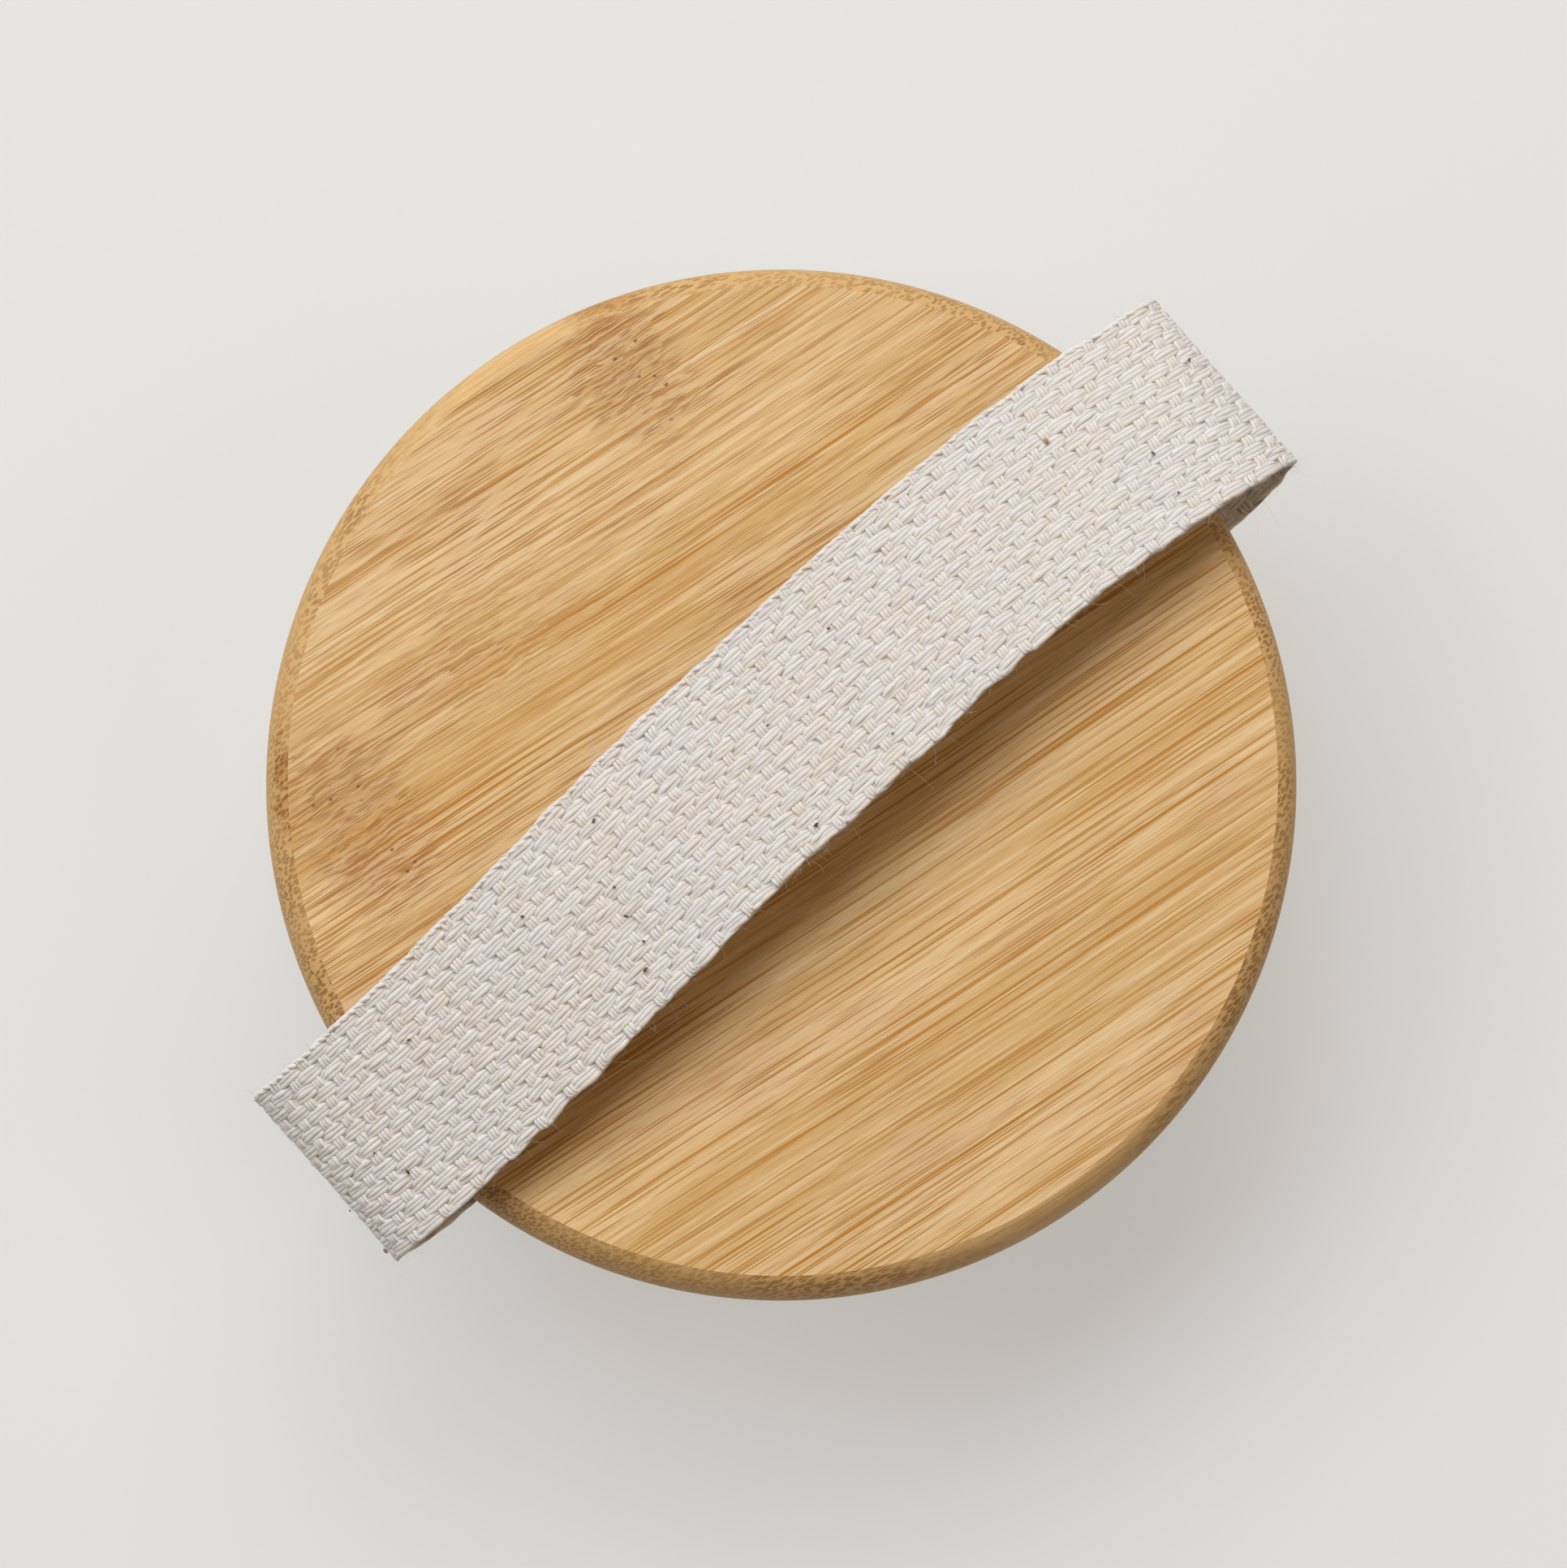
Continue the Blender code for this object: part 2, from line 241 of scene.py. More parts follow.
@dataclass(frozen=True)
class BambooFinish:
    """Pressed bamboo, sanded and oiled: solid grain, so that the edge shows the ends of the same fibres."""

    grain_turn: float = math.radians(-8.1)
    pale: tuple = tone(235, 208, 162)
    middle: tuple = tone(224, 189, 136)
    deep: tuple = tone(210, 170, 110)
    blush: tuple = tone(217, 179, 134)
    line: tuple = tone(184, 126, 48)
    gold: tuple = tone(198, 146, 72)
    fine_line: tuple = tone(190, 140, 72)
    dash: tuple = tone(166, 112, 54)
    end_ground: tuple = tone(206, 166, 108)
    end_dot: tuple = tone(142, 96, 46)
    stain: tuple = tone(160, 106, 60)
    speck: tuple = tone(84, 58, 50)
    marks: tuple[NodeMark, ...] = (
        NodeMark(11.5, 49.5, 8.0, 12.0, 0.9, 0.8),
        NodeMark(-43.0, 23.0, 8.5, 14.0, 1.0, 0.8),
        NodeMark(-17.0, 32.0, 13.0, 10.0, 0.2, 0.7),
    )

    def marked(self, recipe: Recipe, grain: Socket, ragged: Socket, mark: NodeMark) -> Socket:
        """How far a point is inside one node mark.

        Args:
            recipe: the material.
            grain: the point, in millimetres on the grain.
            ragged: a noise that makes the outline uneven.
            mark: the mark.

        Returns:
            1 in the middle, falling to 0 past the mark's reach.
        """
        offset = recipe.vectors("SUBTRACT", grain, (mark.along, mark.across, 0.0))
        flat = recipe.vectors("MULTIPLY", offset, (1 / mark.reach_along, 1 / mark.reach_across, 0.0))
        distance = recipe.maths("ADD", recipe.vectors("LENGTH", flat), ragged)
        return recipe.ease(distance, 1.2, 0.2)

    def material(self) -> bpy.types.Material:
        """Builds the material."""
        r = Recipe("pressed_bamboo")
        turn = {"Vector": r.millimetres(), "Rotation": (0.0, 0.0, -self.grain_turn)}
        grain = r.node("ShaderNodeMapping", turn).outputs["Vector"]

        ragged = r.maths("MULTIPLY", r.noise(r.scaled(grain, 0.16, 0.5), 3.0), 1.1)
        ragged = r.maths("SUBTRACT", ragged, 0.55)
        stained: Socket | float = 0.0
        swirled: Socket | float = 0.0
        for mark in self.marks:
            inside = self.marked(r, grain, ragged, mark)
            stained = r.maths("ADD", r.maths("MULTIPLY", inside, mark.brown), stained, clamp=True)
            swirled = r.maths("ADD", r.maths("MULTIPLY", inside, mark.swirl), swirled, clamp=True)

        sway = r.noise(r.scaled(grain, 0.012, 0.02), 1.0, output="Color")
        sway = r.scaled(r.vectors("SUBTRACT", sway, (0.5,) * 3), 0.0, 2.4)
        swirl = r.noise(r.scaled(grain, 0.22), 2.0, output="Color")
        swirl = r.scaled(r.vectors("SUBTRACT", swirl, (0.5,) * 3), 0.0, 1.1)
        swirl = r.node("ShaderNodeVectorMath", {0: swirl, "Scale": swirled}, operation="SCALE").outputs[0]
        flow = r.vectors("ADD", r.vectors("ADD", grain, sway), swirl)

        broad = r.noise(r.scaled(flow, 0.006, 0.11), 2.0)
        streak = r.noise(r.scaled(flow, 0.016, 1.5), 3.0, 0.7)
        hair = r.noise(r.scaled(flow, 0.13, 6.5), 2.0, 0.7)
        ground = r.blend(r.ease(broad, 0.38, 0.62), self.deep, self.middle)
        ground = r.blend(r.ease(streak, 0.48, 0.64, 0.0, 0.62), ground, self.pale)
        ground = r.blend(r.ease(streak, 0.46, 0.32, 0.0, 0.35), ground, self.gold)
        cloud = r.noise(r.scaled(grain, 0.05, 0.09), 2.0)
        ground = r.blend(r.ease(cloud, 0.5, 0.72, 0.0, 0.6), ground, self.blush)
        ground = r.blend(r.ease(hair, 0.54, 0.72, 0.0, 0.6), ground, self.pale)
        ground = r.blend(r.ease(hair, 0.46, 0.3, 0.0, 0.6), ground, self.fine_line)

        stout = r.cells(r.scaled(flow, 0.013, 1.35))
        slender = r.cells(r.scaled(flow, 0.026, 2.6))
        short = r.cells(r.scaled(flow, 0.1, 4.2))
        stroke = r.cells(r.scaled(flow, 0.26, 4.8))
        weight = r.noise(r.scaled(grain, 0.009, 0.2), 2.0, 0.6)
        across = r.node("ShaderNodeSeparateXYZ", {0: grain}).outputs["Y"]
        coarse = r.ease(across, 16.0, -14.0)
        weight = r.maths("ADD", weight, r.maths("MULTIPLY", coarse, 0.12))
        slender_line = r.maths("MULTIPLY", r.ease(slender, 0.38, 0.31), r.ease(weight, 0.3, 0.6, 0.45, 0.95))
        stout_line = r.maths("MULTIPLY", r.ease(stout, 0.25, 0.18), r.ease(weight, 0.44, 0.66, 0.4, 1.0))
        dashed = r.maths("SUBTRACT", r.ease(cloud, 0.38, 0.6, 0.3, 0.8), r.maths("MULTIPLY", coarse, 0.3))
        dashed = r.maths("MULTIPLY", r.ease(short, 0.42, 0.24), r.maths("MAXIMUM", dashed, 0.0))
        top = r.blend(slender_line, ground, self.fine_line)
        top = r.blend(r.ease(stout, 0.36, 0.26, 0.0, 0.35), top, self.gold)
        top = r.blend(stout_line, top, self.line)
        top = r.blend(dashed, top, self.dash)

        end_on = r.ease(r.attribute("end_grain"), 0.06, 0.24)
        rise = r.attribute("rise")
        bundle = r.cells(r.scaled(flow, 0.5, 2.6))
        bold = r.maths("MAXIMUM", r.ease(cloud, 0.4, 0.62, 0.4, 0.8), r.ease(stained, 0.0, 0.3))
        bold = r.maths("MULTIPLY", bold, r.ease(rise, 0.2, 0.8, 0.45, 1.0))
        around = r.blend(r.ease(stained, 0.0, 0.5, 0.0, 0.75), self.end_ground, self.line)
        end = r.blend(r.maths("MULTIPLY", r.ease(bundle, 0.62, 0.38), bold), around, self.end_dot)
        worn = r.blend(r.ease(rise, 0.97, 0.9, 0.0, 0.6), top, self.end_ground)
        colour = r.blend(end_on, worn, end)

        brown = r.maths("MULTIPLY", stained, r.ease(streak, 0.36, 0.6, 0.3, 1.0))
        colour = r.blend(r.maths("MULTIPLY", brown, 0.32), colour, self.stain)
        strokes = r.maths("MULTIPLY", r.ease(stroke, 0.46, 0.26), r.ease(stained, 0.08, 0.6))
        colour = r.blend(r.maths("MULTIPLY", strokes, 0.8), colour, self.stain)
        pits = r.cells(r.scaled(flow, 0.42, 0.6))
        pitted = r.maths("MULTIPLY", r.ease(pits, 0.15, 0.08), r.ease(stained, 0.35, 0.8))
        colour = r.blend(r.maths("MULTIPLY", pitted, 0.7), colour, self.speck)

        groove = r.maths("ADD", r.maths("MULTIPLY", hair, 0.6), r.maths("MULTIPLY", slender_line, -0.3))
        rough = r.ease(streak, 0.3, 0.75, 0.6, 0.5)
        return r.finish(colour, rough, r.relief(groove, 0.00006, 0.5), Specular_IOR_Level=0.3)


@dataclass(frozen=True)
class CottonFinish:
    """Undyed cotton yarn: fibres that wind round it with painted shade between them, warm and cool flecks,
    and a soft bloom.
    """

    lit: tuple = tone(225, 219, 212)
    warm: tuple = tone(219, 207, 190)
    cool: tuple = tone(220, 218, 215)
    # Painted shade for the hollows between the wound fibres.
    hollow_shade: tuple = tone(211, 202, 190)

    def material(self) -> bpy.types.Material:
        """Builds the material."""
        r = Recipe("undyed_cotton")
        twist = r.attribute("twist", "Vector")
        strand = r.noise(r.scaled(twist, 0.35, 1.5), 3.0, 0.65)
        place = r.millimetres()
        fleck = r.noise(r.scaled(place, 0.35), 3.0, 0.6)
        cloud = r.noise(r.scaled(place, 0.08), 2.0)
        own = r.attribute("tint")
        colour = r.blend(r.ease(fleck, 0.5, 0.68, 0.0, 0.55), self.lit, self.warm)
        colour = r.blend(r.ease(cloud, 0.45, 0.7, 0.0, 0.5), colour, self.cool)
        colour = r.blend(r.ease(own, 0.7, 1.0, 0.0, 0.45), colour, self.warm)
        # Painted shade: darker where the fibres' relief is low.
        colour = r.blend(r.ease(strand, 0.5, 0.3, 0.0, 0.2), colour, self.hollow_shade)
        normal = r.relief(strand, 0.00006, 0.4)
        return r.finish(colour, 0.95, normal, Sheen_Weight=0.25, Sheen_Roughness=0.6, Specular_IOR_Level=0.15,
                        Subsurface_Weight=0.5, Subsurface_Radius=(1.0, 1.0, 1.0), Subsurface_Scale=0.0005)


@dataclass(frozen=True)
class FibreFinish:
    """Stiff plant fibre: straw coloured, each one of its own tone."""

    pale: tuple = tone(228, 208, 164)
    straw: tuple = tone(204, 176, 122)
    brown: tuple = tone(164, 126, 76)

    def material(self) -> bpy.types.Material:
        """Builds the material."""
        r = Recipe("plant_fibre")
        place = r.millimetres()
        along = r.noise(r.scaled(place, 1.4, 1.4, 0.12), 3.0, 0.6)
        own = r.attribute("tint")
        colour = r.blend(r.ease(own, 0.1, 0.75), self.pale, self.straw)
        colour = r.blend(r.ease(own, 0.8, 1.0, 0.0, 0.7), colour, self.brown)
        colour = r.blend(r.ease(along, 0.5, 0.75, 0.0, 0.5), colour, self.brown)
        ribs = r.noise(r.scaled(place, 9.0, 9.0, 0.25), 1.0)
        return r.finish(colour, r.ease(along, 0.3, 0.7, 0.5, 0.7), r.relief(ribs, 0.00003, 0.5),
                        Specular_IOR_Level=0.35)


@dataclass(frozen=True)
class SteelFinish:
    """Plain steel wire with the marks of drawing and heading."""

    bright: tuple = tone(196, 196, 198)
    dull: tuple = tone(150, 148, 146)

    def material(self) -> bpy.types.Material:
        """Builds the material."""
        r = Recipe("brad_steel")
        place = r.millimetres()
        marks = r.noise(r.scaled(place, 2.0, 2.0, 9.0), 4.0, 0.7)
        colour = r.blend(r.ease(marks, 0.35, 0.7), self.bright, self.dull)
        return r.finish(colour, r.ease(marks, 0.3, 0.7, 0.22, 0.45), r.relief(marks, 0.00002, 0.3),
                        Metallic=1.0)


@dataclass(frozen=True)
class HuskFinish:
    """Bits of seed husk that stay in undyed cotton."""

    dark: tuple = tone(92, 66, 40)
    light: tuple = tone(186, 160, 120)

    def material(self) -> bpy.types.Material:
        """Builds the material."""
        r = Recipe("seed_husk")
        place = r.millimetres()
        mottle = r.noise(r.scaled(place, 5.0), 2.0)
        own = r.attribute("tint")
        colour = r.blend(own, self.dark, self.light)
        colour = r.blend(r.ease(mottle, 0.4, 0.7, 0.0, 0.5), colour, self.dark)
        return r.finish(colour, 0.7, r.relief(mottle, 0.00005, 0.5))


@dataclass(frozen=True)
class PaperFinish:
    """The pale, matt sheet that the brush stands on, with an even painted glow of its own that lifts the
    shadows cast on it.
    """

    ground: tuple = tone(164, 163, 160)
    cloud: tuple = tone(161, 160, 158)
    # Painted light: the sheet's own even glow, which lifts the shadows cast on it.
    shadow_lift_glow: tuple = tone(171, 172, 169)
    patch_scale: float = 0.003

    def material(self) -> bpy.types.Material:
        """Builds the material."""
        r = Recipe("pale_ground")
        patch = r.noise(r.scaled(r.millimetres(), self.patch_scale), 2.0)
        # The emission is the painted glow that lifts the shadows on the sheet.
        material = r.finish(r.blend(patch, self.ground, self.cloud), 0.9, Specular_IOR_Level=0.1,
                            Emission_Color=self.shadow_lift_glow, Emission_Strength=1.0)
        return material


# ---- Modelling by hand ----


class Bench:
    """Hand tools: primitives, selections in edit mode, and modifiers that are applied."""

    @staticmethod
    def clear() -> None:
        """Leaves nothing selected."""
        if bpy.context.mode != "OBJECT":
            bpy.ops.object.mode_set(mode="OBJECT")
        bpy.ops.object.select_all(action="DESELECT")

    @staticmethod
    def take(obj: bpy.types.Object) -> None:
        """Selects one object alone and makes it active."""
        Bench.clear()
        obj.select_set(True)
        bpy.context.view_layer.objects.active = obj

    @staticmethod
    def named(name: str) -> bpy.types.Object:
        """Names the object that was just added."""
        obj = bpy.context.active_object
        obj.name = name
        obj.data.name = name
        return obj

    @staticmethod
    def pick(obj: bpy.types.Object, wanted: Callable[[Vector], bool]) -> None:
        """Selects, in edit mode, the points whose place answers to a test."""
        Bench.take(obj)
        bpy.ops.object.mode_set(mode="EDIT")
        bpy.ops.mesh.select_mode(type="VERT")
        bpy.ops.mesh.select_all(action="DESELECT")
        bpy.ops.object.mode_set(mode="OBJECT")
        for point in obj.data.vertices:
            point.select = wanted(point.co)
        bpy.ops.object.mode_set(mode="EDIT")

    @staticmethod
    def turned(name: str, profile: Sequence[tuple[float, float]], steps: int) -> bpy.types.Object:
        """Turns an outline once round the Z axis.

        Args:
            name: the object's name.
            profile: (radius, height) points from the middle of the top, down the outside, to the middle
                of the underside.
            steps: how many steps the turn takes.

        Returns:
            The closed solid.
        """
        Bench.clear()
        start = Vector((profile[0][0], 0.0, profile[0][1]))
        bpy.ops.mesh.primitive_plane_add(size=MM, location=(0.0, 0.0, 0.0))
        obj = Bench.named(name)
        bpy.ops.object.mode_set(mode="EDIT")
        bpy.ops.mesh.merge(type="CENTER")
        bpy.ops.transform.translate(value=start)
        place = start
        for radius, height in profile[1:]:
            step = Vector((radius, 0.0, height)) - place
            bpy.ops.mesh.extrude_region_move(TRANSFORM_OT_translate={"value": step})
            place = place + step
        bpy.ops.mesh.select_all(action="SELECT")
        bpy.ops.mesh.spin(steps=steps, angle=2 * math.pi, center=(0, 0, 0), axis=(0, 0, 1))
        bpy.ops.mesh.select_all(action="SELECT")
        bpy.ops.mesh.remove_doubles(threshold=0.00001)
        bpy.ops.mesh.normals_make_consistent(inside=False)
        bpy.ops.object.mode_set(mode="OBJECT")
        return obj

    @staticmethod
    def apply(obj: bpy.types.Object, kind: str, **settings: object) -> None:
        """Adds a modifier and applies it."""
        Bench.take(obj)
        modifier = obj.modifiers.new(kind.lower(), kind)
        for name, value in settings.items():
            setattr(modifier, name, value)
        bpy.ops.object.modifier_apply(modifier=modifier.name)

    @staticmethod
    def cut(obj: bpy.types.Object, cutter: bpy.types.Object) -> None:
        """Cuts one solid out of another and throws the cutter away."""
        Bench.apply(obj, "BOOLEAN", operation="DIFFERENCE", solver="EXACT", object=cutter)
        bpy.data.objects.remove(cutter, do_unlink=True)

    @staticmethod
    def join(objects: Sequence[bpy.types.Object]) -> bpy.types.Object:
        """Joins objects into the first one."""
        Bench.take(objects[0])
        for obj in objects:
            obj.select_set(True)
        bpy.ops.object.join()
        return objects[0]

    @staticmethod
    def settle(obj: bpy.types.Object, crease: float | None = 30.0) -> None:
        """Moves the object's place into its mesh, and shades it smooth up to a crease angle in degrees."""
        Bench.take(obj)
        bpy.ops.object.transform_apply(location=True, rotation=True, scale=True)
        if crease is not None:
            bpy.ops.object.shade_smooth_by_angle(angle=math.radians(crease))


def from_points(name: str, points: np.ndarray, faces: Sequence[np.ndarray]) -> bpy.types.Object:
    """An object from points and faces.

    Args:
        name: the object's name.
        points: one row to each point, in metres.
        faces: arrays of point numbers, each array with faces of one number of corners.

    Returns:
        The object, shaded smooth.
    """
    mesh = bpy.data.meshes.new(name)
    corners = np.concatenate([part.ravel() for part in faces])
    totals = np.concatenate([np.full(len(part), part.shape[1]) for part in faces])
    mesh.vertices.add(len(points))
    mesh.vertices.foreach_set("co", points.astype(np.float32).ravel())
    mesh.loops.add(len(corners))
    mesh.loops.foreach_set("vertex_index", corners.astype(np.int32))
    mesh.polygons.add(len(totals))
    starts = np.concatenate(([0], np.cumsum(totals)[:-1]))
    mesh.polygons.foreach_set("loop_start", starts.astype(np.int32))
    mesh.polygons.foreach_set("use_smooth", np.ones(len(totals), bool))
    mesh.update(calc_edges=True)
    mesh.validate()
    obj = bpy.data.objects.new(name, mesh)
    bpy.context.scene.collection.objects.link(obj)
    return obj


def store(obj: bpy.types.Object, name: str, values: np.ndarray, domain: str = "POINT") -> None:
    """Stores a number or a vector on each of a mesh's points or faces."""
    kind = "FLOAT" if values.ndim == 1 else "FLOAT_VECTOR"
    key = "value" if values.ndim == 1 else "vector"
    made = obj.data.attributes.new(name, kind, domain)
    made.data.foreach_set(key, values.astype(np.float32).ravel())


def dress(obj: bpy.types.Object, material: bpy.types.Material, slot: Slot) -> None:
    """Gives a piece its one material."""
    obj.data.materials.clear()
    obj.data.materials.append(material)


class Drift(NamedTuple):
    """How a yarn strays: the distance between two random values, and their usual size."""

    step: float
    amount: float


def wander(rng: np.random.Generator, places: np.ndarray, drift: Drift) -> np.ndarray:
    """A smooth random drift.

    Args:
        rng: the source of chance.
        places: where the drift is wanted, in rising order.
        drift: how far it strays, and how fast.

    Returns:
        The drift at each place.
    """
    low, high = places[0] - drift.step, places[-1] + 2 * drift.step
    knots = np.arange(low, high, drift.step)
    values = rng.normal(0.0, drift.amount, len(knots))
    share = (places - low) / drift.step
    left = np.clip(share.astype(int), 0, len(knots) - 2)
    part = share - left
    part = part * part * (3 - 2 * part)
    return values[left] * (1 - part) + values[left + 1] * part


# ---- The bamboo back ----


@dataclass
class BambooBack:
    """The turned bamboo disc, with its slots, tuft holes and brad holes."""

    finish: BambooFinish
    steps: int = 288
    edge_band: float = 2.65 * MM
    edge_sweep: float = math.radians(70)
    edge_steps: int = 10
    lean_of_flat: tuple[float, float] = (0.58 * MM, 0.30 * MM)
    uneven: float = 0.09 * MM
    wave_orders: int = 13
    foot_round: float = 0.8 * MM
    foot_steps: int = 4
    slot_depth: float = 10.0 * MM
    slot_play: float = 0.3 * MM
    slot_thickness: float = 2.0 * MM
    hole_radius: float = 3.0 * MM
    hole_depth: float = 8.0 * MM
    hole_sides: int = 32
    recess_radius: float = 1.6 * MM
    recess_depth: float = 1.2 * MM
    low: Vector = field(init=False)
    high: Vector = field(init=False)

    def __post_init__(self) -> None:
        """Takes the disc's size from the frame."""
        self.low, self.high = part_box("bamboo_back")

    @property
    def radius(self) -> float:
        """The disc's radius."""
        return self.high.y

    def profile(self) -> list[tuple[float, float]]:
        """The outline from the middle of the top to the middle of the underside."""
        edge_radius = self.edge_band / (1 - math.cos(self.edge_sweep))
        side_top = self.high.z - edge_radius * math.sin(self.edge_sweep)
        points = [(0.0, self.high.z)]
        for step in range(self.edge_steps + 1):
            angle = self.edge_sweep * (1 - step / self.edge_steps)
            inset = edge_radius * (1 - math.cos(angle))
            points.append((self.radius - inset, side_top + edge_radius * math.sin(angle)))
        for step in range(self.foot_steps + 1):
            angle = math.pi / 2 * step / self.foot_steps
            inset = self.foot_round * (1 - math.cos(angle))
            points.append((self.radius - inset, self.low.z + self.foot_round * (1 - math.sin(angle))))
        points.append((0.0, self.low.z))
        return points

    def sand(self, disc: bpy.types.Object) -> None:
        """Shifts the flat off the middle, as sanding by hand leaves it, and makes its line uneven."""
        points = self.profile()
        side_top = points[self.edge_steps + 1][1]
        drop = self.high.z - side_top
        rng = np.random.default_rng(11)
        angles = np.linspace(0.0, 2 * math.pi, self.steps, endpoint=False)
        waves = sum(rng.normal(0.0, 1.0) * np.cos(n * angles + rng.uniform(0, FULL_TURN)) / n
                    for n in range(2, self.wave_orders))
        for radius, height in points[1:self.edge_steps + 1]:
            share = (height - side_top) / drop

            def on_ring(place: Vector, height: float = height, radius: float = radius) -> bool:
                """Whether a point is on this ring of the edge."""
                return abs(place.z - height) < 1e-6 and place.xy.length > radius - 1e-5

            Bench.pick(disc, on_ring)
            shift = Vector((*self.lean_of_flat, 0.0)) * share
            bpy.ops.transform.translate(value=shift)
            bpy.ops.object.mode_set(mode="OBJECT")
        middle = Vector((*self.lean_of_flat, 0.0))
        for point in disc.data.vertices:
            share = (point.co.z - side_top) / drop
            if share > 0 and point.co.xy.length > self.radius / 2:
                place = point.co.xy - middle.xy * share
                index = math.atan2(place.y, place.x) / (2 * math.pi) * self.steps
                wave = waves[int(round(index)) % self.steps] * self.uneven * share * share
                point.co.xy += place.normalized() * wave

    def slot_cutter(self, side: Side) -> bpy.types.Object:
        """The kerf in the side that takes one end of the webbing."""
        low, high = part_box(f"strap_end_{side.name.lower()}")
        height = (low.z + high.z) / 2
        inner = self.radius - self.slot_depth
        outer = self.radius + self.slot_depth
        size = (outer - inner, high.y - low.y + 2 * self.slot_play, self.slot_thickness + 2 * self.slot_play)
        Bench.clear()
        place = (side.value * (inner + outer) / 2, 0.0, height)
        bpy.ops.mesh.primitive_cube_add(size=1.0, location=place, scale=size)
        cutter = Bench.named("slot_cutter")
        Bench.settle(cutter, None)
        return cutter

    def hole_cutters(self, places: Sequence[tuple[float, float]], radius: float, depth: float, sides: int
                     ) -> bpy.types.Object:
        """Upright blind holes in the underside.

        Args:
            places: the middle of each hole.
            radius: the holes' radius.
            depth: how deep they go.
            sides: how many sides each one has.

        Returns:
            One object that cuts them all.
        """
        Bench.clear()
        spare = depth / 2
        middle = self.low.z + (depth - spare) / 2
        bpy.ops.mesh.primitive_cylinder_add(vertices=sides, radius=radius, depth=depth + spare,
                                            location=(0.0, 0.0, middle))
        first = Bench.named("hole_cutter")
        Bench.settle(first, None)
        copies = []
        for x, y in places:
            copy = bpy.data.objects.new("hole_cutter", first.data.copy())
            bpy.context.scene.collection.objects.link(copy)
            copy.location = (x, y, 0.0)
            copies.append(copy)
        bpy.data.objects.remove(first, do_unlink=True)
        cutter = Bench.join(copies)
        Bench.settle(cutter, None)
        return cutter

    def build(self, tufts: Sequence[tuple[float, float]], brads: Sequence[tuple[float, float]]
              ) -> bpy.types.Object:
        """Models and dresses the disc.

        Args:
            tufts: the middle of each tuft hole.
            brads: the middle of each brad.

        Returns:
            The finished piece.
        """
        disc = Bench.turned("bamboo_disc", self.profile(), self.steps)
        self.sand(disc)
        for side in Side:
            Bench.cut(disc, self.slot_cutter(side))
        Bench.cut(disc, self.hole_cutters(tufts, self.hole_radius, self.hole_depth, self.hole_sides))
        Bench.cut(disc, self.hole_cutters(brads, self.recess_radius, self.recess_depth, self.hole_sides))
        Bench.settle(disc, 15.0)
        grain = (math.cos(self.finish.grain_turn), math.sin(self.finish.grain_turn), 0.0)
        normals = np.array([face.normal for face in disc.data.polygons], float)
        store(disc, "end_grain", np.abs(normals @ np.array(grain)), "FACE")
        store(disc, "rise", normals[:, 2], "FACE")
        dress(disc, self.finish.material(), Slot.BAMBOO)
        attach(disc, Body.BACK.value)
        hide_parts("bamboo_back")
        return disc


# ---- The webbing ----


class Knot(NamedTuple):
    """A place on the webbing's middle line, the heading and roll there, and how full the next span is."""

    point: Vector
    heading: Vector
    roll: float
    fullness: float


@dataclass
class Rail:
    """The webbing's middle line, with the directions across it and out of its face at each place."""

    middle: np.ndarray
    across: np.ndarray
    run: np.ndarray = field(init=False)
    face: np.ndarray = field(init=False)

    def __post_init__(self) -> None:
        """Works out the run along the line, and squares the directions to it."""
        steps = np.linalg.norm(np.diff(self.middle, axis=0), axis=1)
        self.run = np.concatenate(([0.0], np.cumsum(steps)))
        along = np.gradient(self.middle, self.run, axis=0)
        along /= np.linalg.norm(along, axis=1, keepdims=True)
        self.across = self.across - along * np.sum(self.across * along, axis=1, keepdims=True)
        self.across /= np.linalg.norm(self.across, axis=1, keepdims=True)
        self.face = np.cross(along, self.across)

    @property
    def length(self) -> float:
        """The webbing's length."""
        return float(self.run[-1])

    def read(self, values: np.ndarray, run: np.ndarray) -> np.ndarray:
        """A vector that is known along the line, at any run."""
        return np.stack([np.interp(run, self.run, values[:, axis]) for axis in range(3)], axis=-1)

    def place(self, run: np.ndarray, across: np.ndarray, height: np.ndarray) -> np.ndarray:
        """Points beside and above the middle line.

        Args:
            run: how far along.
            across: how far to the side, positive towards the rear.
            height: how far out of the face.

        Returns:
            One point to each row.
        """
        points = self.read(self.middle, run)
        points = points + self.read(self.across, run) * across[..., None]
        return points + self.read(self.face, run) * height[..., None]


